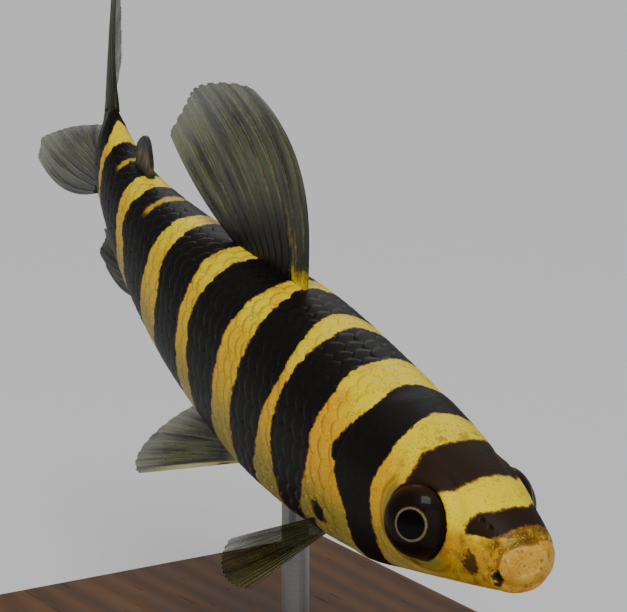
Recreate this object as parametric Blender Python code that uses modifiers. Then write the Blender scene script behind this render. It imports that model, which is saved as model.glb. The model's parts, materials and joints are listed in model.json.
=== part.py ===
"""A banded leporinus, life size, swimming head down on a plain display stand.

Metres, +Z up, head towards +X, the fish's left side towards +Y. The origin is the
middle of the stand's underside. Stations run along the fish's midline as shares of
its standard length: 0 just behind the lips, 1 at the root of the tail fin.
"""

import math

import bmesh
import bpy
import numpy as np
from mathutils import Matrix, Vector

STANDARD_LENGTH = 0.100
GAP = 0.0003
COLLECTION_NAME = "banded_leporinus"
CUTTER_NAME = "cutters"

# Pose: the middle of the body dips its nose, the back arches and the tail turns left
MIDDLE_STATION = 0.45
MIDDLE_POINT = (0.0, 0.0, 0.043)
NOSE_DOWN_DEG = 13.0
ARCH_DEG_PER_LENGTH = 19.0
TAIL_ARCH_DEG = 10.0
TAIL_TURN_DEG = 12.5
TAIL_TURN_START = 0.55
HEAD_END = 0.20
MIDLINE_STEPS = 400

# Body: station, height above the midline, depth below it and half width, in lengths
NOSE_STATION = -0.005
NOSE_ROUNDING = 0.030
BODY_STATIONS = (
    (-0.005, 0.020, 0.026, 0.026),
    (0.015, 0.029, 0.034, 0.034),
    (0.050, 0.045, 0.045, 0.044),
    (0.100, 0.062, 0.059, 0.056),
    (0.160, 0.079, 0.076, 0.066),
    (0.230, 0.093, 0.094, 0.075),
    (0.320, 0.106, 0.107, 0.080),
    (0.460, 0.117, 0.112, 0.080),
    (0.600, 0.104, 0.096, 0.069),
    (0.720, 0.084, 0.077, 0.054),
    (0.830, 0.065, 0.061, 0.039),
    (0.920, 0.051, 0.052, 0.027),
    (0.975, 0.051, 0.056, 0.019),
    (1.010, 0.055, 0.066, 0.012),
)
SECTION_POWER = 2.25
HALF_AROUND = 18
HEAD_HALF_AROUND = 24

# Where the body is parted
GILL_STATION = 0.240
GILL_BULGE = 0.026
GILL_STEP = 0.0005
TRUNK_END = 0.64
TAIL_END = 1.0

# Eye: a flattened ball that looks outwards, turned forward and up
EYE_STATION = 0.1205
EYE_HEIGHT = 0.0007
EYE_RADIUS = 0.0038
EYE_HALF_THICKNESS = 0.0025
EYE_SINK = 0.0006
EYE_TURN_FORWARD_DEG = 32.0
EYE_TURN_UP_DEG = 14.0
RIM_HEIGHT = 0.00025
RIM_WIDTH = 0.0008

# Mouth and nostrils
MOUTH_CORNER = 0.0175
MOUTH_FRONT = 0.0045
MOUTH_CORNER_SHARE = 0.62
MOUTH_SLIT = 0.00035
MOUTH_TILT_DEG = 42.0
LIP_HEIGHT = 0.00030
LIP_OFFSET = 0.0095
LIP_WIDTH = 0.0080
NOSTRIL_STATIONS = (0.039, 0.052)
NOSTRIL_ANGLE_DEG = 44.0
NOSTRIL_RADIUS = 0.00042

# Fins
MEMBRANE = 0.0005
RAY_RIDGE = 0.0004
EDGE_THINNING = 0.45
COLUMNS_PER_RAY = 4
ROOT_SINK = 0.0008

# Fins on the middle plane: root stations, the tips of the first, middle and last
# rays as back and up in lengths, and how far the first and last rays arch outwards
DORSAL_ROOT = (0.460, 0.590)
DORSAL_TIPS = ((0.125, 0.281), (0.228, 0.238), (0.269, 0.165))
DORSAL_ARCH = (0.055, -0.012)
DORSAL_RAYS = 11
ADIPOSE_ROOT = (0.836, 0.878)
ADIPOSE_TIPS = ((-0.006, 0.085), (0.018, 0.100), (0.042, 0.077))
ANAL_ROOT = (0.782, 0.872)
ANAL_TIPS = ((0.108, -0.116), (0.122, -0.098), (0.122, -0.070))
ANAL_ARCH = (0.017, 0.0)
ANAL_RAYS = 8

# Tail fin: heights of its root, then the margin from the fork to the tip of a lobe
CAUDAL_ROOT = (0.056, -0.080)
CAUDAL_FORK = 0.066
CAUDAL_REACH = 0.245
CAUDAL_TIP_HEIGHT = 0.190
CAUDAL_TIP_ROUND = 0.028
CAUDAL_MIDDLE = -0.038
CAUDAL_RAYS = 8
CAUDAL_PART = 0.018
CAUDAL_SWAY = 0.045
CAUDAL_ARCH = 0.024

# Paired fins: root stations and angles from the back, then the first and last rays
# as back, out and down in lengths
PELVIC_ROOT = (0.470, 0.520)
PELVIC_ANGLES_DEG = (153.0, 156.0)
PELVIC_RAY_ENDS = ((0.158, 0.046, 0.092), (0.085, -0.004, 0.002))
PELVIC_ROUND = 0.24
PELVIC_RAYS = 8
PECTORAL_ROOT = (0.284, 0.289)
PECTORAL_ANGLES_DEG = (125.0, 143.0)
PECTORAL_RIGHT_ENDS = ((0.104, 0.053, 0.068), (0.116, 0.024, 0.126))
PECTORAL_LEFT_ENDS = ((0.125, 0.040, 0.030), (0.120, 0.015, 0.062))
PECTORAL_ROUND = 0.18
PECTORAL_RAYS = 9

# Stand
BASE_SIZE = (0.100, 0.068, 0.008)
BASE_CHAMFER = 0.0012
ROD_DIAMETER = 0.0030
ROD_STATION = 0.430
ROD_SINK = 0.0030
ROD_SIDES = 24


def smooth_step(value):
    """Rises from 0 to 1 with flat ends as the value goes from 0 to 1."""
    value = np.clip(value, 0.0, 1.0)
    return value * value * (3.0 - 2.0 * value)


def through(stations, column, at):
    """A smooth curve through one column of a table of stations, read at some stations."""
    table = np.array(stations, float)
    x, y = table[:, 0], table[:, column]
    slope = np.gradient(y, x)
    at = np.clip(np.asarray(at, float), x[0], x[-1])
    left = np.clip(np.searchsorted(x, at, side="right") - 1, 0, len(x) - 2)
    width = x[left + 1] - x[left]
    t = (at - x[left]) / width
    rise = (1 + 2 * t) * (1 - t) ** 2 * y[left] + t * t * (3 - 2 * t) * y[left + 1]
    lean = t * (1 - t) ** 2 * slope[left] - t * t * (1 - t) * slope[left + 1]
    return rise + width * lean


def turn_matrices(nose_down, turn_left):
    """Matrices whose columns are forward, left and up after dipping the nose and turning."""
    cos_d, sin_d = np.cos(nose_down), np.sin(nose_down)
    cos_t, sin_t = np.cos(turn_left), np.sin(turn_left)
    zero = np.zeros_like(cos_d)
    rows = [
        [cos_t * cos_d, -sin_t, cos_t * sin_d],
        [sin_t * cos_d, cos_t, sin_t * sin_d],
        [-sin_d, zero, cos_d],
    ]
    return np.moveaxis(np.array(rows), 2, 0)


class Midline:
    """The bent line that the body is built round, with forward, left and up along it."""

    def __init__(self):
        self.stations = np.linspace(NOSE_STATION - 0.1, 1.5, MIDLINE_STEPS)
        bent = np.clip(self.stations, HEAD_END, 1.05)
        dip = ARCH_DEG_PER_LENGTH * (bent - MIDDLE_STATION)
        dip = dip + TAIL_ARCH_DEG * smooth_step((bent - 0.8) / 0.25)
        turned = (bent - TAIL_TURN_START) / (1.0 - TAIL_TURN_START)
        turn = -TAIL_TURN_DEG * smooth_step(turned)
        local = turn_matrices(np.radians(dip), np.radians(turn))
        middle = turn_matrices(np.radians([NOSE_DOWN_DEG]), np.zeros(1))[0]
        self.frames = middle @ local
        forward = self.frames[:, :, 0]
        steps = np.diff(self.stations)[:, None] * STANDARD_LENGTH
        walked = np.cumsum((forward[1:] + forward[:-1]) / 2 * steps, axis=0)
        line = -np.vstack([np.zeros(3), walked])
        start = [np.interp(MIDDLE_STATION, self.stations, line[:, k]) for k in range(3)]
        self.line = line - np.array(start) + np.array(MIDDLE_POINT)

    def point(self, station):
        """The point of the midline at each station."""
        station = np.asarray(station, float)
        found = [np.interp(station, self.stations, self.line[:, k]) for k in range(3)]
        return np.stack(found, axis=-1)

    def axes(self, station):
        """The matrix of forward, left and up at each station."""
        station = np.asarray(station, float)
        found = [
            [np.interp(station, self.stations, self.frames[:, r, c]) for c in range(3)]
            for r in range(3)
        ]
        return np.moveaxis(np.array(found), (0, 1), (-2, -1))

    def place(self, station, left, up):
        """World points from a station and metres to the left of and above the midline."""
        frame = self.axes(station)
        left = np.asarray(left, float)[..., None]
        up = np.asarray(up, float)[..., None]
        return self.point(station) + frame[..., :, 1] * left + frame[..., :, 2] * up


MIDLINE = Midline()


def section_point(station, angle, swell=0.0):
    """Metres left of and above the midline, for a point of the body's section."""
    station = np.asarray(station, float)
    ahead = np.clip((station - NOSE_STATION) / NOSE_ROUNDING, 0.0, 1.0)
    rounded = np.sqrt(np.clip(1.0 - (1.0 - ahead) ** 2, 0.0, 1.0))
    above, below, half_width = (
        through(BODY_STATIONS, column, station) * STANDARD_LENGTH * rounded
        for column in (1, 2, 3)
    )
    across, upward = np.sin(angle), np.cos(angle)
    power = 2.0 / SECTION_POWER
    left = np.sign(across) * np.abs(across) ** power * (half_width + swell)
    height = np.where(upward > 0, above, below) + swell
    return left, np.sign(upward) * np.abs(upward) ** power * height


def plain_point(station, angle, swell=0.0):
    """A point of the body without lips or rims. The angle is 0 at the back, and 90
    degrees on the left side."""
    return MIDLINE.place(station, *section_point(station, angle, swell))


def body_normal(station, angle):
    """The direction that the body faces at a station and angle."""
    step = 1e-3
    along = plain_point(station + step, angle) - plain_point(station - step, angle)
    around = plain_point(station, angle + step) - plain_point(station, angle - step)
    normal = np.cross(along, around)
    normal /= np.linalg.norm(normal, axis=-1, keepdims=True) + 1e-15
    outward = plain_point(station, angle) - MIDLINE.point(station + 0.01)
    return normal * np.sign((normal * outward).sum(axis=-1, keepdims=True))


def eye_frame(side):
    """The eye's middle and the way it looks, for side 1 on the left and -1 on the right."""
    frame = MIDLINE.axes(EYE_STATION)
    forward, left, up = frame[:, 0], frame[:, 1], frame[:, 2]
    look = left * side
    look = look + forward * math.tan(math.radians(EYE_TURN_FORWARD_DEG))
    look = look + up * math.tan(math.radians(EYE_TURN_UP_DEG))
    look = look / np.linalg.norm(look)
    surface = plain_point(EYE_STATION, side * math.pi / 2)
    return surface + up * EYE_HEIGHT - look * EYE_SINK, look


def share_from_back(angle):
    """Angle from the back as a share of the half turn, alike on both sides."""
    return np.abs((angle + math.pi) % (2 * math.pi) - math.pi) / math.pi


def mouth_line(angle):
    """Station of the mouth round the snout, from its corner to its front below."""
    low = (share_from_back(angle) - MOUTH_CORNER_SHARE) / (1 - MOUTH_CORNER_SHARE)
    low = np.clip(low, 0.0, 1.0)
    return MOUTH_CORNER + (MOUTH_FRONT - MOUTH_CORNER) * low


def relief(station, angle):
    """Height of the lips and the eyes' rims over the plain body, in metres."""
    beyond = station - mouth_line(angle)
    over, under = (beyond + LIP_OFFSET) / LIP_WIDTH, (beyond - LIP_OFFSET) / LIP_WIDTH
    low = smooth_step((share_from_back(angle) - MOUTH_CORNER_SHARE + 0.05) / 0.1)
    height = LIP_HEIGHT * (np.exp(-over * over) + 0.8 * low * np.exp(-under * under))
    points = plain_point(station, angle)
    for side in (1, -1):
        middle, look = eye_frame(side)
        reach = points - middle
        along = reach @ look
        away = np.linalg.norm(reach - along[..., None] * look, axis=-1)
        ring = np.exp(-(((away - EYE_RADIUS - RIM_WIDTH / 2) / RIM_WIDTH) ** 2))
        height = height + RIM_HEIGHT * ring * (along > -EYE_RADIUS)
    return height


def body_point(station, angle, swell=0.0):
    """A point of the body's surface with its lips and the eyes' rims."""
    shift = relief(station, angle) + swell
    return plain_point(station, angle) + body_normal(station, angle) * shift[..., None]


def material(name, colour, roughness, metallic=0.0):
    """A plain finish with the colour, roughness and metallic value of a part."""
    made = bpy.data.materials.new(name)
    made.use_nodes = True
    shader = made.node_tree.nodes["Principled BSDF"]
    shader.inputs["Base Color"].default_value = (*colour, 1.0)
    shader.inputs["Roughness"].default_value = roughness
    shader.inputs["Metallic"].default_value = metallic
    return made


def new_object(name, mesh, finish, collection):
    """Links a mesh as a named object with its finish."""
    made = bpy.data.objects.new(name, mesh)
    if finish is not None:
        mesh.materials.append(finish)
    collection.objects.link(made)
    return made


def loft(name, rings, finish, collection):
    """A closed solid through rings of points, which each run down one side and up the other.

    The faces of both sides are split alike, and strips across close the two ends.
    """
    rings = np.asarray(rings, float)
    count, around = rings.shape[:2]
    half = around // 2
    faces = []
    for ring in range(count - 1):
        for j in range(around):
            a, b = ring * around + j, ring * around + (j + 1) % around
            c, d = b + around, a + around
            if j < half:
                faces += [(a, b, c), (a, c, d)]
            else:
                faces += [(a, b, d), (b, c, d)]
    for first, order in ((0, -1), ((count - 1) * around, 1)):
        strips = [(0, 1, around - 1)]
        for j in range(1, half - 1):
            strips += [(j, j + 1, around - j), (j + 1, around - j - 1, around - j)]
        strips.append((half - 1, half, half + 1))
        faces += [tuple(first + k for k in strip[::order]) for strip in strips]
    mesh = bpy.data.meshes.new(name)
    mesh.from_pydata(rings.reshape(-1, 3).tolist(), [], faces)
    sculpt = bmesh.new()
    sculpt.from_mesh(mesh)
    if sculpt.calc_volume(signed=True) < 0:
        bmesh.ops.reverse_faces(sculpt, faces=sculpt.faces[:])
    sculpt.to_mesh(mesh)
    sculpt.free()
    mesh.shade_smooth()
    mesh.set_sharp_from_angle(angle=math.radians(40))
    return new_object(name, mesh, finish, collection)


def ring_angles(half):
    """Angles round a section: from the back down the left side and up the right."""
    return np.arange(2 * half) * math.pi / half


def gill_line(angle, shift=0.0):
    """Station of the gill opening round the body, bulging back on the sides."""
    return GILL_STATION + GILL_BULGE * (np.abs(np.sin(angle)) ** 1.5 - 0.5) + shift


def square_line(station):
    """A cut square across the body, as a function of the angle."""
    return lambda angle: np.full_like(angle, station)


def body_part(name, start, end, spacing, half, finish, collection):
    """A length of the body between two cuts, each a station as a function of the angle."""
    angles = ring_angles(half)
    front, back = start(angles), end(angles)
    rings = [body_point(front + (back - front) * share, angles) for share in spacing]
    return loft(name, rings, finish, collection)


def cutter(made):
    """Hides an object that only cuts others."""
    made.hide_render = True
    made.display_type = "WIRE"
    return made


def cut(target, tool):
    """Takes the tool's shape out of the target."""
    change = target.modifiers.new("Cut", "BOOLEAN")
    change.operation = "DIFFERENCE"
    change.object = tool
    change.solver = "EXACT"


def ball(name, radii, middle, look, segments, finish, collection):
    """An ellipsoid whose third radius lies along the way it looks."""
    mesh = bpy.data.meshes.new(name)
    sculpt = bmesh.new()
    bmesh.ops.create_uvsphere(
        sculpt, u_segments=segments, v_segments=segments // 2, radius=1.0
    )
    bmesh.ops.scale(sculpt, vec=Vector(radii), verts=sculpt.verts[:])
    sculpt.to_mesh(mesh)
    sculpt.free()
    mesh.shade_smooth()
    made = new_object(name, mesh, finish, collection)
    made.location = Vector(middle)
    made.rotation_mode = "QUATERNION"
    made.rotation_quaternion = Vector(look).to_track_quat("Z", "Y")
    return made


def build_head(finish, collection, cutters):
    """The head from the nose to the gill opening, with sockets, lips, mouth and nostrils."""
    spacing = np.concatenate(
        [
            0.16 * (1.0 - np.cos(np.linspace(0.06, 0.5, 11) * math.pi)),
            np.linspace(0.16, 0.97, 24)[1:],
            [1.0],
        ]
    )
    angles = ring_angles(HEAD_HALF_AROUND)
    low = smooth_step((np.minimum(angles, 2 * math.pi - angles) - 0.6) / 0.6)
    back = gill_line(angles, -GAP / 2 / STANDARD_LENGTH)
    rings = []
    for share in spacing:
        station = NOSE_STATION + (back - NOSE_STATION) * share
        rings.append(body_point(station, angles, GILL_STEP * low * share**8))
    head = loft("head", rings, finish, collection)
    for side, word in ((1, "left"), (-1, "right")):
        middle, look = eye_frame(side)
        radii = (EYE_RADIUS + GAP, EYE_RADIUS + GAP, EYE_HALF_THICKNESS + GAP)
        socket = ball(f"socket_{word}", radii, middle, look, 24, None, cutters)
        cut(head, cutter(socket))
        for number, station in enumerate(NOSTRIL_STATIONS):
            angle = side * math.radians(NOSTRIL_ANGLE_DEG)
            spot = body_point(np.array(station), np.array(angle))
            facing = body_normal(np.array(station), np.array(angle))
            radii = (NOSTRIL_RADIUS, NOSTRIL_RADIUS * 1.5, NOSTRIL_RADIUS)
            name = f"nostril_{word}_{number + 1}"
            cut(head, cutter(ball(name, radii, spot, facing, 10, None, cutters)))
    mesh = bpy.data.meshes.new("mouth_cut")
    sculpt = bmesh.new()
    bmesh.ops.create_cube(sculpt, size=1.0)
    size = Vector((0.005, 0.02, MOUTH_SLIT))
    bmesh.ops.scale(sculpt, vec=size, verts=sculpt.verts[:])
    bmesh.ops.translate(sculpt, vec=Vector((0.0025, 0.0, 0.0)), verts=sculpt.verts[:])
    sculpt.to_mesh(mesh)
    sculpt.free()
    slit = new_object("mouth_cut", mesh, None, cutters)
    frame = Matrix(MIDLINE.axes(MOUTH_CORNER).tolist()).to_4x4()
    corner = section_point(np.array(MOUTH_CORNER), np.array(MOUTH_CORNER_SHARE * math.pi))
    place = MIDLINE.place(np.array(MOUTH_CORNER), np.array(0.0), corner[1])
    tilt = Matrix.Rotation(math.radians(MOUTH_TILT_DEG), 4, "Y")
    slit.matrix_world = Matrix.Translation(place) @ frame @ tilt
    cut(head, cutter(slit))
    return head


def fin(name, sheet, rays, thickness, finish, collection):
    """A fin as a thin solid round a sheet of points, with its rays raised on both faces.

    The sheet's rows run out from the root, and its columns from the leading edge to
    the trailing edge.
    """
    rows, columns = sheet.shape[:2]
    across = np.linspace(0.0, 1.0, columns)
    outward = np.linspace(0.0, 1.0, rows)[:, None]
    normal = np.cross(np.gradient(sheet, axis=1), np.gradient(sheet, axis=0))
    normal /= np.linalg.norm(normal, axis=-1, keepdims=True)
    ridge = 0.5 - 0.5 * np.cos(across * rays * 2 * math.pi)
    thick = MEMBRANE + RAY_RIDGE * ridge[None] * (1 - 0.5 * outward)
    thick = thick * (1 - EDGE_THINNING * smooth_step((outward - 0.75) / 0.25))
    shift = normal * (thick * thickness)[..., None] / 2
    lead = sheet[:, :1] + (sheet[:, :1] - sheet[:, 1:2]) * 0.35
    trail = sheet[:, -1:] + (sheet[:, -1:] - sheet[:, -2:-1]) * 0.35
    faces = [lead, sheet + shift, trail, (sheet - shift)[:, ::-1]]
    return loft(name, np.concatenate(faces, axis=1), finish, collection)


def fan(root, tip, arch, rays, rows):
    """A sheet of points from a root line to a tip line, whose rays arch by a vector."""
    across = np.linspace(0.0, 1.0, COLUMNS_PER_RAY * rays + 1)
    outward = np.linspace(0.0, 1.0, rows)[:, None, None]
    start, end = root(across), tip(across)
    sheet = start[None] + (end - start)[None] * outward
    return sheet + arch(across)[None] * 4 * outward * (1 - outward)


def curve_through(points, share):
    """A curve through three points at the shares 0, a half and 1."""
    first, middle, last = (np.array(point) for point in points)
    share = np.asarray(share)[..., None]
    return (
        first * (1 - share) * (1 - 2 * share)
        + middle * 4 * share * (1 - share)
        + last * share * (2 * share - 1)
    )


def plane_fin(name, origin, stations, tips, arches, rays, rows, thickness, finish, collection):
    """A fin standing on the back or the belly in the middle plane.

    Tips are given as back and up from the midline at the origin station, in lengths.
    """
    frame = MIDLINE.axes(origin)
    back, up = -frame[:, 0] * STANDARD_LENGTH, frame[:, 2] * STANDARD_LENGTH
    above = tips[0][1] > 0

    def root(across):
        station = stations[0] + (stations[1] - stations[0]) * across
        angle = np.zeros_like(station) if above else np.full_like(station, math.pi)
        return plain_point(station, angle, GAP)

    def tip(across):
        found = curve_through(tips, across)
        return MIDLINE.point(origin) + found[..., :1] * back + found[..., 1:] * up

    def arch(across):
        ray = tip(across) - root(across)
        ray = ray / np.linalg.norm(ray, axis=-1, keepdims=True)
        outward = np.cross(frame[:, 1], ray) * (1 if above else -1)
        size = arches[0] + (arches[1] - arches[0]) * across
        return outward * size[..., None] * STANDARD_LENGTH

    sheet = fan(root, tip, arch, rays, rows)
    return fin(name, sheet, rays, thickness, finish, collection)


def build_caudal_lobe(name, span, finish, collection):
    """A lobe of the forked tail fin, between two shares from its top to its bottom."""
    frame = MIDLINE.axes(TAIL_END)
    back, left, up = (STANDARD_LENGTH * v for v in (-frame[:, 0], frame[:, 1], frame[:, 2]))
    middle = MIDLINE.point(TAIL_END + GAP / STANDARD_LENGTH)

    def side_of(across):
        return 1 - 2 * (span[0] + (span[1] - span[0]) * across)

    def root(across):
        share = (1 - side_of(across)) / 2
        height = CAUDAL_ROOT[0] + (CAUDAL_ROOT[1] - CAUDAL_ROOT[0]) * share
        return middle + height[..., None] * up

    def tip(across):
        side = side_of(across)
        far = np.abs(side)
        reach = CAUDAL_FORK + (CAUDAL_REACH - CAUDAL_FORK) * far**0.9
        reach = reach - CAUDAL_TIP_ROUND * smooth_step((far - 0.8) / 0.2)
        height = CAUDAL_MIDDLE + np.sign(side) * CAUDAL_TIP_HEIGHT * far
        sway = CAUDAL_SWAY * smooth_step((side + 0.35) / 0.7)
        found = middle + reach[..., None] * back + height[..., None] * up
        return found + sway[..., None] * left

    def arch(across):
        side = side_of(across)
        sway = -0.25 * CAUDAL_SWAY * smooth_step((side + 0.35) / 0.7)
        return sway[..., None] * left + CAUDAL_ARCH * side[..., None] ** 3 * up

    sheet = fan(root, tip, arch, CAUDAL_RAYS, 9)
    return fin(name, sheet, CAUDAL_RAYS, 1.0, finish, collection)


def paired_fin(name, side, stations, angles, ends, bulge, rays, finish, collection):
    """A paired fin from a root on the lower side of the body."""
    frame = MIDLINE.axes(sum(stations) / 2)
    directions = np.stack([-frame[:, 0], side * frame[:, 1], -frame[:, 2]])
    directions = directions * STANDARD_LENGTH

    def root(across):
        station = stations[0] + (stations[1] - stations[0]) * across
        turn = side * np.radians(angles[0] + (angles[1] - angles[0]) * across)
        return plain_point(station, turn) - body_normal(station, turn) * ROOT_SINK

    def tip(across):
        share = across[..., None]
        ray = np.array(ends[0]) * (1 - share) + np.array(ends[1]) * share
        ray = ray * (1 + bulge * 4 * share * (1 - share))
        return root(across) + ray @ directions

    def arch(across):
        return np.zeros((len(across), 3))

    return fin(name, fan(root, tip, arch, rays, 7), rays, 1.0, finish, collection)


def build_stand(base_finish, rod_finish, collection, belly):
    """A flat base with a chamfered edge, and a rod cut to fit under the belly."""
    mesh = bpy.data.meshes.new("stand_base")
    sculpt = bmesh.new()
    bmesh.ops.create_cube(sculpt, size=1.0)
    bmesh.ops.scale(sculpt, vec=Vector(BASE_SIZE), verts=sculpt.verts[:])
    sculpt.to_mesh(mesh)
    sculpt.free()
    base = new_object("stand_base", mesh, base_finish, collection)
    base.location = (0.0, 0.0, BASE_SIZE[2] / 2)
    chamfer = base.modifiers.new("Chamfer", "BEVEL")
    chamfer.width = BASE_CHAMFER
    chamfer.segments = 2

    foot = BASE_SIZE[2] + GAP
    touch = plain_point(np.array(ROD_STATION), np.array(math.pi))
    top = touch[2] + ROD_SINK
    mesh = bpy.data.meshes.new("stand_rod")
    sculpt = bmesh.new()
    bmesh.ops.create_cone(
        sculpt,
        cap_ends=True,
        segments=ROD_SIDES,
        radius1=ROD_DIAMETER / 2,
        radius2=ROD_DIAMETER / 2,
        depth=top - foot,
    )
    sculpt.to_mesh(mesh)
    sculpt.free()
    rod = new_object("stand_rod", mesh, rod_finish, collection)
    rod.location = (touch[0], touch[1], (top + foot) / 2)
    cut(rod, belly)


def new_collection(name):
    """A collection linked to the scene."""
    made = bpy.data.collections.new(name)
    bpy.context.scene.collection.children.link(made)
    return made


def flesh(name):
    """The body's finish for one part."""
    return material(f"{name}_skin", (0.80, 0.56, 0.10), 0.35)


def membrane(name):
    """A fin's finish."""
    return material(f"{name}_membrane", (0.36, 0.36, 0.14), 0.30)


def main():
    """Builds every part of the fish and its stand."""
    for old in list(bpy.data.objects):
        bpy.data.objects.remove(old)
    parts = new_collection(COLLECTION_NAME)
    cutters = new_collection(CUTTER_NAME)

    half_gap = GAP / 2 / STANDARD_LENGTH
    build_head(flesh("head"), parts, cutters)
    body_part(
        "trunk",
        lambda angle: gill_line(angle, half_gap),
        square_line(TRUNK_END - half_gap),
        np.linspace(0.0, 1.0, 18),
        HALF_AROUND,
        flesh("trunk"),
        parts,
    )
    body_part(
        "tail_stalk",
        square_line(TRUNK_END + half_gap),
        square_line(TAIL_END),
        np.linspace(0.0, 1.0, 16),
        HALF_AROUND,
        flesh("tail_stalk"),
        parts,
    )
    for name, origin, stations, tips, arches, rays, rows, thickness in (
        ("fin_dorsal", 0.50, DORSAL_ROOT, DORSAL_TIPS, DORSAL_ARCH, DORSAL_RAYS, 9, 1.0),
        ("fin_adipose", 0.85, ADIPOSE_ROOT, ADIPOSE_TIPS, (0.0, 0.0), 2, 6, 1.6),
        ("fin_anal", 0.82, ANAL_ROOT, ANAL_TIPS, ANAL_ARCH, ANAL_RAYS, 7, 1.0),
    ):
        finish = membrane(name)
        plane_fin(name, origin, stations, tips, arches, rays, rows, thickness, finish, parts)
    for name, span in (
        ("fin_caudal_upper", (0.0, 0.5 - CAUDAL_PART)),
        ("fin_caudal_lower", (0.5 + CAUDAL_PART, 1.0)),
    ):
        build_caudal_lobe(name, span, membrane(name), parts)

    angles = ring_angles(2 * HALF_AROUND)
    rings = [
        plain_point(np.full_like(angles, station), angles, GAP)
        for station in np.linspace(GILL_STATION, TRUNK_END, 24)
    ]
    belly = cutter(loft("belly_cut", rings, None, cutters))
    for side, word in ((1, "left"), (-1, "right")):
        middle, look = eye_frame(side)
        radii = (EYE_RADIUS, EYE_RADIUS, EYE_HALF_THICKNESS)
        finish = material(f"eye_{word}_dark", (0.03, 0.02, 0.015), 0.08)
        ball(f"eye_{word}", radii, middle, look, 20, finish, parts)
        pelvic = paired_fin(
            f"fin_pelvic_{word}",
            side,
            PELVIC_ROOT,
            PELVIC_ANGLES_DEG,
            PELVIC_RAY_ENDS,
            PELVIC_ROUND,
            PELVIC_RAYS,
            membrane(f"fin_pelvic_{word}"),
            parts,
        )
        cut(pelvic, belly)
        pectoral = paired_fin(
            f"fin_pectoral_{word}",
            side,
            PECTORAL_ROOT,
            PECTORAL_ANGLES_DEG,
            PECTORAL_LEFT_ENDS if side > 0 else PECTORAL_RIGHT_ENDS,
            PECTORAL_ROUND,
            PECTORAL_RAYS,
            membrane(f"fin_pectoral_{word}"),
            parts,
        )
        cut(pectoral, belly)
    walnut = material("base_walnut", (0.16, 0.08, 0.04), 0.40)
    steel = material("rod_steel", (0.60, 0.60, 0.60), 0.25, 1.0)
    build_stand(walnut, steel, parts, belly)


if __name__ == "__main__":
    main()
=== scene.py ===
"""A life-size banded leporinus on a plain display stand, dressed for close views.

Metres, +Z up, head towards +X, the fish's left side towards +Y. Stations run along the
fish's midline as shares of its standard length: 0 just behind the lips, 1 at the root
of the tail fin. Angles round the body are 0 at the back and pi/2 on the left side. A
fold is an angle as a share of the half turn, 0 at the back and 1 at the belly.
"""

import json
import logging
import math
from collections.abc import Callable
from dataclasses import dataclass
from enum import Enum

import bpy
import numpy as np
from mathutils import Matrix

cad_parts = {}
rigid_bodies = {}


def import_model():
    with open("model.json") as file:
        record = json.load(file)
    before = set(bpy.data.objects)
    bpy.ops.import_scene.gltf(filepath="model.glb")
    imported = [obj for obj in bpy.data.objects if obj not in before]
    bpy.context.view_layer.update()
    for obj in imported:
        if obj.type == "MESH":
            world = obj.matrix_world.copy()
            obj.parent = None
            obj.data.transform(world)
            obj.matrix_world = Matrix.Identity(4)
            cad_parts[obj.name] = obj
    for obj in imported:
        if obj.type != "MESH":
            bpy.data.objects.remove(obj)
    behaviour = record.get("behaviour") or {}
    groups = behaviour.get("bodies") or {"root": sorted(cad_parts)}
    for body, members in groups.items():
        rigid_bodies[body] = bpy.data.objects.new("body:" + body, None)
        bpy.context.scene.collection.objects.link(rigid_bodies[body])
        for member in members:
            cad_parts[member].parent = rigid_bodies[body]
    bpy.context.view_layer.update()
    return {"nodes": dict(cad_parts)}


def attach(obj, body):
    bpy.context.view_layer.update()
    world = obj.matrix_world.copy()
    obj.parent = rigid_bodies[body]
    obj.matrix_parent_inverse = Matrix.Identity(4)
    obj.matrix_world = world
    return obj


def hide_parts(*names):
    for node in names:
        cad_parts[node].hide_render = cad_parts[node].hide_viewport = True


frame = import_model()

LOG = logging.getLogger("banded_leporinus")
LENGTH = 0.100
UNWRAP_MAP = "OFBake"
LAY = "lay"

Array = np.ndarray
Socket = bpy.types.NodeSocket
Pair = tuple[float, float]
Point = tuple[float, float, float]
Colour = tuple[float, float, float]
Number = "Value | float"
Input = "Value | Socket | float | Colour"
Noises = "tuple[Value, ...]"
Layers = "list[tuple[Value, Colour]]"


class Slot(Enum):
    """The record's names for the finishes."""

    SKIN = "skin"
    EYE = "eye"
    MEMBRANE = "membrane"
    WALNUT = "walnut"
    STEEL = "steel"


class Side(Enum):
    """A side of the fish, with the sign of its angles."""

    LEFT = 1
    RIGHT = -1

    @property
    def word(self) -> str:
        """The side's name as the pieces use it."""
        return self.name.lower()


def smooth_step(value: Array) -> Array:
    """Rises from 0 to 1 with flat ends as the value goes from 0 to 1: v*v*(3 - 2v)."""
    value = np.clip(value, 0.0, 1.0)
    return value * value * (3.0 - 2.0 * value)


def bell(value: Array) -> Array:
    """A bump of height 1 at 0 that falls away on both sides: exp of minus the square."""
    return np.exp(-value * value)


def unit(vectors: Array) -> Array:
    """Vectors of length 1 that point the same way."""
    return vectors / (np.linalg.norm(vectors, axis=-1, keepdims=True) + 1e-15)


def between(ends: Pair, share: "Array | Value") -> "Array | Value":
    """The first end at the share 0, the second at 1, and evenly in between."""
    return ends[0] + (ends[1] - ends[0]) * share


# ---- Shader maths


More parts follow.
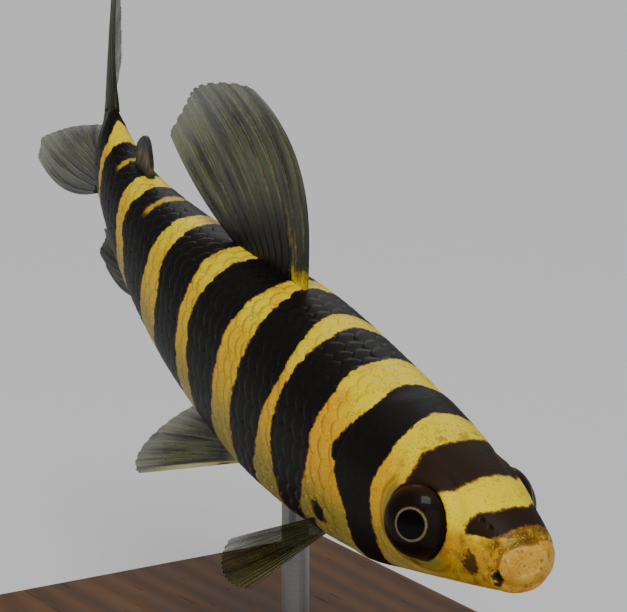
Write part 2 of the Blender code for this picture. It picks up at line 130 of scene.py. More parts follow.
class Value:
    """A number that varies over a surface, held as a socket that takes part in sums."""

    def __init__(self, graph: "Graph", socket: Socket) -> None:
        """Keeps the graph that the socket belongs to."""
        self.graph, self.socket = graph, socket

    def __add__(self, other: Number) -> "Value":
        """This plus the other."""
        return self.graph.math("ADD", self, other)

    def __sub__(self, other: Number) -> "Value":
        """This less the other."""
        return self.graph.math("SUBTRACT", self, other)

    def __rsub__(self, other: float) -> "Value":
        """The other less this."""
        return self.graph.math("SUBTRACT", other, self)

    def __mul__(self, other: Number) -> "Value":
        """This times the other."""
        return self.graph.math("MULTIPLY", self, other)

    def __or__(self, other: Number) -> "Value":
        """The larger of the two, which joins two masks."""
        return self.graph.math("MAXIMUM", self, other)

    def __and__(self, other: Number) -> "Value":
        """The smaller of the two, which keeps what both masks cover."""
        return self.graph.math("MINIMUM", self, other)

    __radd__ = __add__
    __rmul__ = __mul__

    def step(self, low: float, high: float) -> "Value":
        """Rises smoothly from 0 to 1 as this goes from low to high, or falls if low > high."""
        ends = (low, high, 0.0, 1.0) if low < high else (high, low, 1.0, 0.0)
        sockets = dict(zip(("From Min", "From Max", "To Min", "To Max"), ends))
        settings = {"interpolation_type": "SMOOTHSTEP"}
        made = self.graph.node("ShaderNodeMapRange", settings, Value=self, **sockets)
        return Value(self.graph, made.outputs["Result"])

    def ramp(self, row: tuple[int, ...]) -> "Value":
        """A smooth curve, read at this value.

        Args:
            row: Places in hundredths, each followed by the curve's height in thousandths.

        Returns:
            The curve's height.
        """
        stops = [(at / 100, (level / 1000,) * 3) for at, level in zip(row[::2], row[1::2])]
        made = self.graph.ramp_colours(self, stops, "CARDINAL")
        split = self.graph.node("ShaderNodeSeparateColor", Color=made)
        return Value(self.graph, split.outputs[0])


class Graph:
    """The node tree of one finish, with its main shader."""

    def __init__(self, name: str) -> None:
        """Starts a material that has only its main shader."""
        self.material = bpy.data.materials.new(name)
        self.material.use_nodes = True
        self.tree = self.material.node_tree
        self.shader = self.tree.nodes["Principled BSDF"]
        self.objects = self.node("ShaderNodeTexCoord").outputs["Object"]

    def node(
        self, kind: str, settings: dict[str, object] | None = None, **sockets: Input
    ) -> bpy.types.Node:
        """Adds any node.

        Args:
            kind: The node's type.
            settings: Its own settings.
            **sockets: Values or links of its inputs, by name with _ for a space.

        Returns:
            The node.
        """
        made = self.tree.nodes.new(kind)
        for key, setting in (settings or {}).items():
            setattr(made, key, setting)
        for key, given in sockets.items():
            self.feed(made.inputs[key.replace("_", " ")], given)
        return made

    def feed(self, socket: Socket, given: Input) -> None:
        """Sets or links one input."""
        if isinstance(given, Value):
            given = given.socket
        if isinstance(given, Socket):
            self.tree.links.new(given, socket)
        else:
            socket.default_value = (*given, 1.0) if socket.type == "RGBA" else given

    def math(self, operation: str, *values: Number) -> Value:
        """Adds one Math node on values or numbers."""
        made = self.node("ShaderNodeMath", {"operation": operation})
        for socket, given in zip(made.inputs, values):
            self.feed(socket, given)
        return Value(self, made.outputs[0])

    def mix(self, factor: Number, first: Input, second: Input) -> Socket:
        """A colour that goes from the first to the second as the factor goes from 0 to 1."""
        made = self.node("ShaderNodeMix", {"data_type": "RGBA"})
        for index, given in ((0, factor), (6, first), (7, second)):
            self.feed(made.inputs[index], given)
        return made.outputs[2]

    def layers(self, ground: Input, *layers: "tuple[Number, Input]") -> Input:
        """Lays colours over a ground, the first one lowest, each where its mask is 1."""
        for mask, colour in layers:
            ground = self.mix(mask, ground, colour)
        return ground

    def ramp_colours(self, value: Value, stops: list[tuple[float, Colour]], kind: str) -> Socket:
        """A colour read from a row of stops, which are joined in the way of that kind."""
        made = self.node("ShaderNodeValToRGB", Fac=value)
        ramp = made.color_ramp
        ramp.interpolation = kind
        while len(ramp.elements) < len(stops):
            ramp.elements.new(0.5)
        for element, (at, colour) in zip(ramp.elements, stops):
            element.position = at
            element.color = (*colour, 1.0)
        return made.outputs[0]

    def noise(self, size: float, detail: float = 2.0, squash: Point | None = None) -> Value:
        """Soft random values round 0, whose grains have a size in metres.

        Args:
            size: Width of a grain.
            detail: How many finer layers are added.
            squash: Factors along x, y and z, where grains are longer one way.

        Returns:
            Values from about -0.5 to 0.5.
        """
        vector = self.objects
        if squash is not None:
            vector = self.node("ShaderNodeMapping", Vector=vector, Scale=squash).outputs[0]
        made = self.node("ShaderNodeTexNoise", Vector=vector, Scale=1.0 / size, Detail=detail)
        return Value(self, made.outputs[0]) - 0.5

    def lay(self) -> tuple[Value, Value, Value]:
        """The three numbers that a mesh carries at each vertex."""
        read = self.node("ShaderNodeAttribute", {"attribute_name": LAY})
        split = self.node("ShaderNodeSeparateXYZ", Vector=read.outputs["Vector"])
        return tuple(Value(self, output) for output in split.outputs)

    def bump(self, height: Value, distance: float) -> None:
        """Lets a height in the range 0 to 1 shape the shading, deepest at the distance."""
        made = self.node("ShaderNodeBump", Height=height, Distance=distance)
        self.feed(self.shader.inputs["Normal"], made.outputs[0])

    def finish(self, **sockets: Input) -> bpy.types.Material:
        """Sets the main shader's inputs and gives the material."""
        for key, given in sockets.items():
            self.feed(self.shader.inputs[key.replace("_", " ")], given)
        return self.material


# ---- Markings, shared by the skin, the scales and the roots of the fins


@dataclass(frozen=True)
class Eyeball:
    """Place and size of an eye: a flattened ball that looks out, forward and up."""

    station: float = 0.1205
    height: float = 0.0007
    radius: float = 0.0038
    half_thickness: float = 0.0025
    cornea: float = 0.00012
    sink: float = 0.0006
    turn_forward: float = 32.0
    turn_up: float = 14.0


EYE = Eyeball()


@dataclass(frozen=True)
class Band:
    """A dark band between a front and a rear edge, from back to belly.

    An edge is a row of folds in hundredths, each followed by a station in thousandths.
    """

    front: tuple[int, ...]
    rear: tuple[int, ...]
    reach: Pair | None = None
    strength: float = 1.0
    edge: float = 0.0026


BANDS = (
    Band(
        (0, 23, 12, 24, 24, 27, 33, 36, 40, 58),
        (0, 47, 12, 48, 19, 55, 27, 61, 40, 62),
        (0.37, 0.43),
        edge=0.0036,
    ),
    Band(
        (0, 91, 12, 91, 24, 98, 31, 111, 36, 118),
        (0, 145, 12, 147, 19, 152, 25, 149, 40, 147),
        (0.36, 0.44),
        0.985,
        0.0044,
    ),
    Band(
        (0, 193, 12, 187, 25, 185, 34, 187, 43, 193, 52, 190, 66, 184, 80, 188),
        (0, 250, 16, 242, 30, 251, 39, 263, 45, 256, 53, 236, 62, 228, 80, 226),
    ),
    Band(
        (0, 300, 20, 298, 30, 297, 40, 303, 50, 302, 62, 314, 78, 325),
        (0, 368, 12, 361, 25, 363, 38, 370, 50, 371, 64, 363, 78, 370),
    ),
    Band(
        (0, 400, 16, 387, 30, 380, 39, 385, 47, 395, 60, 402, 80, 420),
        (0, 463, 9, 454, 33, 452, 55, 456, 68, 453, 82, 466),
    ),
    Band(
        (0, 485, 16, 488, 28, 496, 39, 501, 55, 500, 78, 503),
        (0, 559, 17, 567, 33, 575, 44, 576, 53, 564, 62, 556, 80, 553),
    ),
    Band(
        (0, 598, 17, 607, 33, 604, 46, 600, 60, 592, 80, 590),
        (0, 679, 17, 676, 33, 676, 47, 661, 58, 661, 80, 660),
    ),
    Band(
        (0, 711, 33, 712, 55, 707, 80, 704),
        (0, 808, 17, 807, 33, 810, 40, 806, 46, 798, 50, 784, 56, 774, 80, 770),
    ),
    Band(
        (0, 845, 22, 845, 36, 836, 46, 829, 54, 812, 80, 806),
        (0, 936, 30, 935, 47, 931, 60, 920, 80, 916),
    ),
    Band(
        (0, 978, 11, 968, 22, 958, 30, 954, 39, 951, 50, 944, 62, 935, 80, 932),
        (0, 1003, 30, 1003, 70, 1004, 100, 1005),
    ),
)

# Pale crescents inside a band: middle station, half width, and the folds where they end
CRESCENTS = ((0.769, 0.010, 0.19, 0.30), (0.895, 0.008, 0.20, 0.30))

# Dark spots of the head and breast: station, fold, half sizes, strength
SPOTS = (
    (0.049, 0.565, 0.0090, 0.075, 0.72),
    (0.0175, 0.625, 0.0046, 0.090, 0.88),
    (0.126, 0.690, 0.0090, 0.030, 0.45),
    (0.284, 0.655, 0.0085, 0.050, 0.97),
)


@dataclass(frozen=True)
class Markings:
    """Yellow ground with dark bands, in the pattern that stations and folds carry."""

    black: Colour = (0.0040, 0.0026, 0.0018)
    brown: Colour = (0.021, 0.0088, 0.0020)
    # Brown laid in patches over the black bands: painted sheen
    worn: Colour = (0.020, 0.009, 0.003)
    lemon: Colour = (0.90, 0.69, 0.001)
    gold: Colour = (0.86, 0.50, 0.001)
    # The khaki and the belly colour are the skin's own dull colour, made darker as painted shade on
    # the lower side
    khaki: Colour = (0.36, 0.26, 0.022)
    belly: Colour = (0.44, 0.39, 0.15)
    fringe: Colour = (0.26, 0.105, 0.006)
    tail_fringe: Colour = (0.018, 0.013, 0.004)
    rays_across: float = 7.8
    rays_shift: float = 7.4

    def bands(self, station: Value, fold: Value) -> Value:
        """The mask of all dark bands.

        Args:
            station: Station along the body, already roughened.
            fold: The fold round the body.

        Returns:
            1 in the bands and 0 between them, with soft edges.
        """
        mask = None
        for band in BANDS:
            front, rear = (station - fold.ramp(row) for row in (band.front, band.rear))
            found = front.step(-band.edge, band.edge) & rear.step(band.edge, -band.edge)
            if band.reach is not None:
                found = found * fold.step(*band.reach[::-1]) * band.strength
            mask = found if mask is None else mask | found
        for middle, half, start, end in CRESCENTS:
            along = station - middle
            pale = along.step(-half, -half * 0.3) & along.step(half, half * 0.3)
            mask = mask * (1.0 - pale * fold.step(end, start) * 0.70)
        return mask

    def spots(self, station: Value, fold: Value, blur: Value) -> Value:
        """The mask of the dark spots on the cheek, the lips and the breast."""
        mask = None
        for middle, angle, half, wide, strength in SPOTS:
            along, round_ = (station - middle) * (1.0 / half), (fold - angle) * (1.0 / wide)
            found = (along * along + round_ * round_ + blur).step(1.9, 0.3) * strength
            mask = found if mask is None else mask | found
        return mask

    def flesh(self, graph: Graph, station: Value, fold: Value, coarse: Value) -> Socket:
        """The yellow between the bands: lemon above, orange on the flank, darker khaki below, partly
        the skin's own colour and partly painted shade.
        """
        colours = self.lemon, self.lemon, self.gold, self.gold, self.khaki, self.belly
        # Towards the belly the ramp darkens: the skin's own khaki, plus painted shade under the body
        stops = list(zip((0.00, 0.22, 0.35, 0.43, 0.56, 0.90), colours))
        patches = graph.noise(0.0045)
        flank = fold.step(0.20, 0.36) & fold.step(0.62, 0.48)
        orange = patches.step(0.02, 0.22) * fold.step(0.62, 0.50) * station.step(0.12, 0.30)
        return graph.layers(
            graph.ramp_colours(fold + coarse * 0.10, stops, "EASE"),
            (flank * station.step(0.50, 0.30) * 0.85, (0.88, 0.42, 0.001)),
            (station.step(0.35, 0.50) * flank * 0.55, (0.80, 0.50, 0.004)),
            (orange * 0.75, (0.86, 0.37, 0.001)),
            (patches.step(-0.05, -0.25) * fold.step(0.45, 0.30) * 0.5, (0.95, 0.78, 0.020)),
        )

    @staticmethod
    def face(graph: Graph, station: Value, fold: Value, noises: Noises) -> Layers:
        """The snout's lemon, the cheek's orange, the pink upper lip and their brown mottling, with
        painted shade along the lip's crease and painted highlights on the lip.

        Args:
            graph: The finish that the colours belong to.
            station: Station along the body.
            fold: The fold round the body.
            noises: Coarse, fine and finest random values.

        Returns:
            Layers of colour for the ground.
        """
        coarse, fine, grain = noises
        rough = station + coarse * 0.016
        ahead = station - (fold.step(0.0, 0.46) * 0.0080 + 0.0082) + coarse * 0.006
        lip = ahead.step(0.0020, -0.0022)
        freckles = graph.noise(0.0009, 4.0) + grain * 0.5
        blotches = graph.noise(0.0012, 3.0) + freckles * 0.55
        dots = (graph.noise(0.0008) + fine * 0.4).step(0.10, 0.24)
        snout = station.step(0.115, 0.09) & fold.step(0.52, 0.36)
        cheek = station.step(0.125, 0.085) & (fold + coarse * 0.10).step(0.37, 0.49)
        low_cheek = station.step(0.100, 0.055) & fold.step(0.37, 0.46)
        top = rough.step(0.036, 0.026) & (fold + coarse * 0.2).step(0.44, 0.34)
        side = rough.step(0.050, 0.030) & fold.step(0.66, 0.56)
        throat = fold.step(0.54, 0.64) & station.step(0.20, 0.14)
        nape = station.step(0.182, 0.156) & station.step(0.138, 0.146) & fold.step(0.42, 0.30)
        # A dark brown line just behind the lip's crease, which is painted shade in the groove
        crease = ahead.step(-0.0018, 0.0) & ahead.step(0.0030, 0.0008) & fold.step(0.64, 0.56)
        return [
            (snout, (0.94, 0.71, 0.001)),
            (cheek * 0.95, (0.70, 0.31, 0.003)),
            (side * 0.85, (0.66, 0.31, 0.012)),
            (throat * coarse.step(-0.3, 0.2) * 0.7, (0.62, 0.40, 0.045)),
            (freckles.step(-0.03, 0.14) * low_cheek * 0.80, (0.20, 0.070, 0.006)),
            (lip, (0.72, 0.36, 0.045)),
            # Pale orange patches on the lip, broken up by noise: painted highlight
            ((coarse + fine).step(-0.02, 0.22) * lip * 0.7, (0.86, 0.54, 0.10)),
            (freckles.step(-0.02, 0.14) * lip * 0.5, (0.50, 0.20, 0.022)),
            (dots * lip * 0.7, (0.22, 0.070, 0.010)),
            ((coarse + fine * 0.6).step(-0.02, 0.20) * nape * 0.62, (0.22, 0.090, 0.004)),
            (blotches.step(-0.24, 0.02) * top * (1.0 - lip * 0.90) * 0.90, (0.080, 0.030, 0.005)),
            (freckles.step(0.00, 0.15) * side * (1.0 - lip) * 0.80, (0.13, 0.045, 0.006)),
            # Painted shade along the lip's crease
            (crease * 0.65, (0.20, 0.070, 0.010)),
        ]

    @staticmethod
    def orbit(station: Value, fold: Value, away: Value) -> Layers:
        """The ring of skin round an eye: khaki behind and below it, brown in front."""
        around = (station - EYE.station) + (fold - 0.5) * 0.30
        rear = around.step(-0.012, 0.008)
        front = around.step(0.004, -0.020) * fold.step(0.44, 0.54)
        return [
            (away.step(1.38, 1.26) * rear * 0.95, (0.30, 0.245, 0.028)),
            (away.step(1.30, 1.40) * away.step(1.54, 1.42) * rear * 0.60, (0.20, 0.095, 0.005)),
            (away.step(1.34, 1.10) * front * 0.8, (0.20, 0.070, 0.006)),
        ]

    def tail_root(self, graph: Graph, station: Value, fold: Value, noises: Noises) -> Socket:
        """The skin over the root of the tail fin: dark olive, with its rays faintly through."""
        coarse, fine = noises
        height = graph.math("COSINE", fold * math.pi) * self.rays_across + self.rays_shift
        ray = graph.math("COSINE", (height + coarse * 0.5) * (2 * math.pi)).step(-0.10, -1.0)
        ray = ray * (fine + coarse).step(-0.30, 0.20) * station.step(1.020, 1.006)
        root = graph.mix(station.step(1.002, 1.016), (0.040, 0.037, 0.012), (0.016, 0.016, 0.006))
        return graph.mix(ray, root, (0.088, 0.082, 0.022))

    def paint(
        self, graph: Graph, station: Value, fold: Value, away: "Value | None" = None
    ) -> tuple[Socket, Value]:
        """The colour of the body.

        Args:
            graph: The finish that the colour belongs to.
            station: Station along the body.
            fold: The fold round the body.
            away: Distance from the nearer eye in its radii, on the skin.

        Returns:
            The colour, and the mask of its dark parts.
        """
        fine, coarse = graph.noise(0.00045, 1.0), graph.noise(0.0016)
        grain = graph.noise(0.00022)
        dark = self.bands(station + fine * 0.0055 + coarse * 0.0060 + grain * 0.0020, fold)
        ground = self.flesh(graph, station, fold, coarse)
        if away is not None:
            ground = graph.layers(ground, *self.face(graph, station, fold, (coarse, fine, grain)))
        ground = graph.layers(
            ground,
            ((grain * 1.6 + fine * 0.8).step(0.03, 0.42) * 0.45, (0.97, 0.80, 0.06)),
            ((grain * 1.6 + coarse * 0.9).step(-0.02, -0.42) * 0.62, (0.46, 0.22, 0.003)),
            (station.step(0.990, 1.000), self.tail_root(graph, station, fold, (coarse, fine))),
        )
        if away is not None:
            ground = graph.layers(ground, *self.orbit(station, fold, away + coarse * 0.15))
            dark = dark | (away + fine * 0.05).step(1.12, 1.04) * 0.96
        blur = coarse * 4.0 + fine * 2.5
        dark = dark | self.spots(station + fine * 0.006, fold + coarse * 0.05, blur)
        shade = graph.mix(station.step(0.19, 0.16), self.black, self.brown)
        # Patches of painted brown sheen over the black of the bands
        shade = graph.mix((grain + coarse).step(0.10, 0.40) * 0.45, shade, self.worn)
        fringe = graph.mix(station.step(0.985, 0.995), self.fringe, self.tail_fringe)
        layers = (dark.step(0.0, 0.60), fringe), (dark.step(0.25, 0.95), shade)
        return graph.layers(ground, *layers), dark


@dataclass(frozen=True)
class BodyFinish:
    """The finish of the skin and of the scales over it."""

    name: str
    roughness: float = 0.48
    coat: float = 0.06
    grain_height: float = 0.00003

    def make(self) -> bpy.types.Material:
        """Builds the material from the pattern that the mesh carries as its lay."""
        graph = Graph(self.name)
        station, fold, away = graph.lay()
        colour, dark = Markings().paint(graph, station, fold, away)
        lip = station.step(0.020, 0.004)
        relief = graph.noise(0.00030, 3.0) + graph.noise(0.0006, 3.0) * lip * 1.5
        graph.bump(relief + 0.5, self.grain_height)
        return graph.finish(
            Base_Color=colour,
            Roughness=self.roughness + graph.noise(0.0007) * 0.16 + dark * 0.08,
            Coat_Weight=self.coat - dark * (self.coat * 0.6),
            Coat_Roughness=0.25,
            Specular_IOR_Level=0.16,
        )


@dataclass(frozen=True)
class EyeFinish:
    """A wet, nearly black eye with a thin tan ring round its pupil."""

    name: str
    pupil: float = 0.400
    ring: float = 0.450

    def make(self) -> bpy.types.Material:
        """Builds the material; the lay's first number is the distance from the pupil's middle."""
        graph = Graph(self.name)
        away = graph.lay()[0]
        wobble = away + graph.noise(0.0006) * 0.020
        streak = graph.noise(0.00018, 3.0)
        ring = wobble.step(self.pupil - 0.010, self.pupil + 0.014)
        ring = ring & wobble.step(self.ring + 0.030, self.ring - 0.006)
        tan = graph.mix((streak * 1.4 + 0.3).step(0.0, 0.6), (0.12, 0.080, 0.034), (0.24, 0.18, 0.085))
        colour = graph.layers(
            (0.0060, 0.0034, 0.0018),
            ((streak + 0.1).step(-0.1, 0.4) * 0.6, (0.018, 0.0090, 0.0035)),
            (wobble.step(0.74, 0.98) * 0.8, (0.040, 0.017, 0.0045)),
            (ring, tan),
            (away.step(self.pupil, self.pupil - 0.012), (0.0010, 0.0008, 0.0008)),
        )
        graph.bump(streak * away.step(0.40, 0.50) + 0.5, 0.00002)
        return graph.finish(
            Base_Color=colour,
            Roughness=0.40 + graph.noise(0.0012) * 0.10,
            Coat_Weight=0.10,
            Coat_Roughness=0.06,
            Specular_IOR_Level=0.05,
        )


@dataclass(frozen=True)
class FinFinish:
    """A smoky see-through membrane between rays, with the body's markings at its root.

    The lay's numbers are the place across the fin, the place out from its root, and
    how much a ray stands proud there.
    """

    name: str
    stations: Pair
    fold: float
    membrane: Colour = (0.050, 0.060, 0.003)
    rays: Colour = (0.22, 0.210, 0.040)
    dusk: float = 0.30
    leading: float = 0.0
    trailing: float = 0.0
    clear: float = 0.27
    fleshy: float = 0.06
    black_rim: float = 0.0
    streaks: float = 14.0

    def base(self, graph: Graph, across: Value, out: Value, ray: Value, noises: Noises) -> Socket:
        """The colour of the fin away from its root.

        Args:
            graph: The finish that the colour belongs to.
            across: Place across the fin.
            out: Place out from its root.
            ray: How much a ray stands proud.
            noises: Fine, broad and streaky random values.

        Returns:
            The colour.
        """
        grain, cloud, streak = noises
        deep = graph.mix(0.86, self.membrane, (0.0, 0.0, 0.0))
        film = graph.mix(streak.step(-0.11, 0.12), deep, self.membrane)
        glint = (grain + cloud + streak).step(-0.25, 0.35) * out.step(0.02, 0.22)
        layers = [(out.step(0.02, 0.55), film), (ray.step(0.25, 0.85) * glint * 0.85, self.rays)]
        if self.leading > 0.0:
            first = (across + cloud * 0.02).step(0.10, 0.03) * out.step(1.02, 0.55)
            patch = (across + streak * 0.2).step(0.42, 0.20) & out.step(0.26, 0.06)
            layers.append(((first | patch) * self.leading, (0.62, 0.54, 0.22)))
        if self.trailing > 0.0:
            pale = (across + streak * 0.3).step(0.66, 0.90) * ray.step(0.1, 0.6)
            layers.append((pale * self.trailing, (0.42, 0.40, 0.16)))
        if self.black_rim > 0.0:
            rim = (out + cloud * 0.2).step(0.55, 0.80) * self.black_rim
            layers.append((rim, (0.010, 0.007, 0.005)))
        return graph.layers((0.010, 0.009, 0.004), *layers)

    def make(self) -> bpy.types.Material:
        """Builds the material."""
        graph = Graph(self.name)
        across, out, ray = graph.lay()
        grain, cloud = graph.noise(0.0003, 3.0), graph.noise(0.003)
        place = graph.node("ShaderNodeCombineXYZ", X=across * self.streaks, Y=out * 1.6)
        long = graph.node("ShaderNodeTexNoise", Vector=place.outputs[0], Scale=1.0, Detail=3.0)
        streak = Value(graph, long.outputs[0]) - 0.5
        station = between(self.stations, across) + (streak + cloud) * 0.016
        root, dark = Markings().paint(graph, station, self.fold + across * 0.001)
        colour = self.base(graph, across, out, ray, (grain, cloud, streak))
        far = out + streak * 0.10 + cloud * 0.10
        near = (far + grain * 0.06).step(self.fleshy * 1.5, self.fleshy * 0.1)
        smoke = far.step(self.dusk * 1.35, self.dusk * 0.35) * dark
        solid = near | smoke * 0.9 | ray * 0.55 | out.step(0.55, 0.1) * 0.55
        solid = solid | streak.step(0.05, -0.20) * 0.6
        thin = 1.0 - out.step(0.60, 1.0) * 1.1 * self.clear
        graph.bump(ray * (grain * 0.5 + 0.5), 0.00004)
        return graph.finish(
            Base_Color=graph.mix(near | smoke, colour, root),
            Roughness=0.42 + cloud * 0.15,
            Alpha=(solid * self.clear + (1.0 - self.clear)) * thin + cloud * 0.06,
            Coat_Weight=0.06,
            Coat_Roughness=0.25,
            Specular_IOR_Level=0.25,
        )


@dataclass(frozen=True)
class WalnutFinish:
    """Oiled walnut with its grain along the base."""

    name: str
    pale: Colour = (0.170, 0.072, 0.022)
    deep: Colour = (0.050, 0.018, 0.005)
    pore: Colour = (0.020, 0.010, 0.006)
    lines_per_metre: float = 1500.0

    def make(self) -> bpy.types.Material:
        """Builds the material: bent growth lines, fine pores and a low sheen."""
        graph = Graph(self.name)
        bend = graph.noise(0.05, 2.0, (0.5, 1.0, 1.0))
        fibre = graph.noise(0.0012, 4.0, (0.06, 1.0, 1.0))
        broad = graph.noise(0.012, 2.0, (0.12, 1.0, 1.0))
        pores = graph.noise(0.0005, 2.0, (0.08, 1.0, 1.0)).step(0.12, 0.26)
        split = graph.node("ShaderNodeSeparateXYZ", Vector=graph.objects)
        across = Value(graph, split.outputs[1]) + Value(graph, split.outputs[2]) * 0.6
        phase = (across + bend * 0.026) * self.lines_per_metre
        lines = graph.math("SINE", phase) * 0.5 + 0.5
        colour = graph.mix(lines * 0.35 + fibre * 1.1 + broad * 0.9 + 0.25, self.deep, self.pale)
        graph.bump(fibre * 0.5 + 0.5 - pores * 0.4, 0.00005)
        return graph.finish(
            Base_Color=graph.mix(pores * 0.6, colour, self.pore),
            Roughness=0.55 + fibre * 0.25 + pores * 0.15,
            Specular_IOR_Level=0.12,
        )


@dataclass(frozen=True)
class SteelFinish:
    """Steel with fine scratches round the rod."""

    name: str

    def make(self) -> bpy.types.Material:
        """Builds the material."""
        graph = Graph(self.name)
        scratch, stain = graph.noise(0.0004, 3.0, (0.12, 0.12, 2.2)), graph.noise(0.004)
        colour = graph.mix(scratch + 0.5, (0.26, 0.26, 0.26), (0.40, 0.40, 0.39))
        graph.bump(scratch + 0.5, 0.00001)
        rough = 0.52 + scratch * 0.12 + stain * 0.10
        return graph.finish(Base_Color=colour, Roughness=rough, Metallic=1.0)


@dataclass(frozen=True)
class FloorFinish:
    """Plain pale card."""

    name: str

    def make(self) -> bpy.types.Material:
        """Builds the material."""
        graph = Graph(self.name)
        colour = graph.mix(graph.noise(0.4) + 0.5, (0.79, 0.79, 0.78), (0.83, 0.83, 0.82))
        return graph.finish(Base_Color=colour, Roughness=0.9)


# ---- Meshes


def build_mesh(
    name: str,
    points: Array,
    faces: Array,
    finish: bpy.types.Material,
    lay: Array | None = None,
    unwrap: Array | None = None,
) -> bpy.types.Object:
    """Makes an object of triangles and quads, faces outwards, and links it.

    Args:
        name: The piece's name.
        points: Vertices, one row each.
        faces: Vertex numbers, four to a row; a triangle repeats its last one.
        finish: The piece's material.
        lay: Three numbers at each vertex for the material to read.
        unwrap: A place on the unwrap for each corner of each face, four to a face.

    Returns:
        The object.
    """
    a, b, c, d = (points[faces[:, k]] for k in range(4))
    volume = (np.cross(a, b) * c).sum() + (np.cross(a, c) * d).sum()
    if volume < 0.0:
        faces = faces[:, [0, 3, 2, 1]]
        unwrap = None if unwrap is None else unwrap[:, [0, 3, 2, 1]]
    keep = np.ones(faces.shape, bool)
    keep[:, 3] = faces[:, 3] != faces[:, 2]
    keep[:, 2] = faces[:, 2] != faces[:, 1]
    counts = keep.sum(axis=1)
    mesh = bpy.data.meshes.new(name)
    mesh.vertices.add(len(points))
    mesh.vertices.foreach_set("co", points.astype(np.float32).ravel())
    mesh.loops.add(int(counts.sum()))
    mesh.loops.foreach_set("vertex_index", faces[keep].astype(np.int32))
    mesh.polygons.add(len(faces))
    mesh.polygons.foreach_set("loop_start", np.cumsum(counts) - counts)
    mesh.polygons.foreach_set("loop_total", counts)
    mesh.update(calc_edges=True)
    if unwrap is not None:
        layer = mesh.uv_layers.new(name=UNWRAP_MAP)
        layer.data.foreach_set("uv", unwrap[keep].astype(np.float32).ravel())
    if lay is not None:
        carried = mesh.attributes.new(LAY, "FLOAT_VECTOR", "POINT")
        carried.data.foreach_set("vector", lay.astype(np.float32).ravel())
    mesh.validate()
    mesh.shade_smooth()
    mesh.materials.append(finish)
    made = bpy.data.objects.new(name, mesh)
    bpy.context.scene.collection.objects.link(made)
    return made


def grid_faces(rows: int, columns: int) -> Array:
    """Quads between the neighbours in a grid of vertices."""
    grid = np.arange(rows * columns).reshape(rows, columns)
    corners = [grid[:-1, :-1], grid[1:, :-1], grid[1:, 1:], grid[:-1, 1:]]
    return np.stack(corners, axis=-1).reshape(-1, 4)


def tube_faces(rings: int, around: int) -> Array:
    """Quads between rings of vertices that close round: each joins its neighbours."""
    ring, step = np.meshgrid(np.arange(rings - 1), np.arange(around), indexing="ij")
    a, b = ring * around + step, ring * around + (step + 1) % around
    return np.stack([a, b, b + around, a + around], axis=-1).reshape(-1, 4)


def strip_faces(around: int, first: int, order: int) -> Array:
    """Quads straight across a ring, from one side of it to the other, which close it."""
    low = np.arange(0, around // 2 - 1)
    high = around - 1 - low
    return first + np.stack([low, low + 1, high - 1, high], axis=-1)[:, ::order]


def fan_faces(around: int, first: int, hub: int, order: int) -> Array:
    """Triangles between a ring and a hub, which close it."""
    step = np.arange(around)
    ends = (first + step, first + (step + 1) % around)[::order]
    return np.stack([*ends, *[np.full_like(step, hub)] * 2], axis=-1)


# ---- The body's shape


@dataclass
class Midline:
    """The bent line that the body is built round: its pose."""

    middle: float = 0.45
    middle_point: Point = (0.0, 0.0, 0.043)
    nose_down: float = 13.0
    arch: float = 19.0
    tail_arch: float = 10.0
    tail_turn: float = 12.5
    turn_start: float = 0.55
    head_end: float = 0.20
    tail_start: float = 0.80
    tail_bend: float = 0.25
    ends: Pair = (-0.105, 1.5)
    steps: int = 400

    def __post_init__(self) -> None:
        """Walks along the line from its turning angles, and keeps its points and axes."""
        self.stations = np.linspace(*self.ends, self.steps)
        bent = np.clip(self.stations, self.head_end, self.tail_start + self.tail_bend)
        dip = self.arch * (bent - self.middle)
        dip = dip + self.tail_arch * smooth_step((bent - self.tail_start) / self.tail_bend)
        turn = -self.tail_turn * smooth_step((bent - self.turn_start) / (1.0 - self.turn_start))
        local = self.turned(np.radians(dip), np.radians(turn))
        self.frames = self.turned(np.radians([self.nose_down]), np.zeros(1))[0] @ local
        forward = self.frames[:, :, 0]
        steps = np.diff(self.stations)[:, None] * LENGTH
        walked = np.cumsum((forward[1:] + forward[:-1]) / 2 * steps, axis=0)
        line = -np.vstack([np.zeros(3), walked])
        start = [np.interp(self.middle, self.stations, line[:, k]) for k in range(3)]
        self.line = line - np.array(start) + np.array(self.middle_point)

    @staticmethod
    def turned(nose_down: Array, turn_left: Array) -> Array:
        """Matrices whose columns are forward, left and up after a dip and a turn."""
        cos_d, sin_d = np.cos(nose_down), np.sin(nose_down)
        cos_t, sin_t = np.cos(turn_left), np.sin(turn_left)
        rows = [
            [cos_t * cos_d, -sin_t, cos_t * sin_d],
            [sin_t * cos_d, cos_t, sin_t * sin_d],
            [-sin_d, np.zeros_like(cos_d), cos_d],
        ]
        return np.moveaxis(np.array(rows), 2, 0)

    def read(self, table: Array, station: Array | float) -> Array:
        """Rows of a table along the line, read at some stations."""
        columns = table.reshape(len(table), -1).T
        found = np.stack([np.interp(station, self.stations, row) for row in columns], axis=-1)
        return found.reshape(np.shape(station) + table.shape[1:])

    def point(self, station: Array | float) -> Array:
        """Points of the line at some stations."""
        return self.read(self.line, station)

    def axes(self, station: Array | float) -> Array:
        """Matrices of forward, left and up at some stations."""
        return self.read(self.frames, station)

    def place(self, station: Array, left: Array, up: Array) -> Array:
        """World points from metres left of and above the line."""
        axes = self.axes(station)
        shift = axes[..., :, 1] * left[..., None] + axes[..., :, 2] * up[..., None]
        return self.point(station) + shift


MIDLINE = Midline()


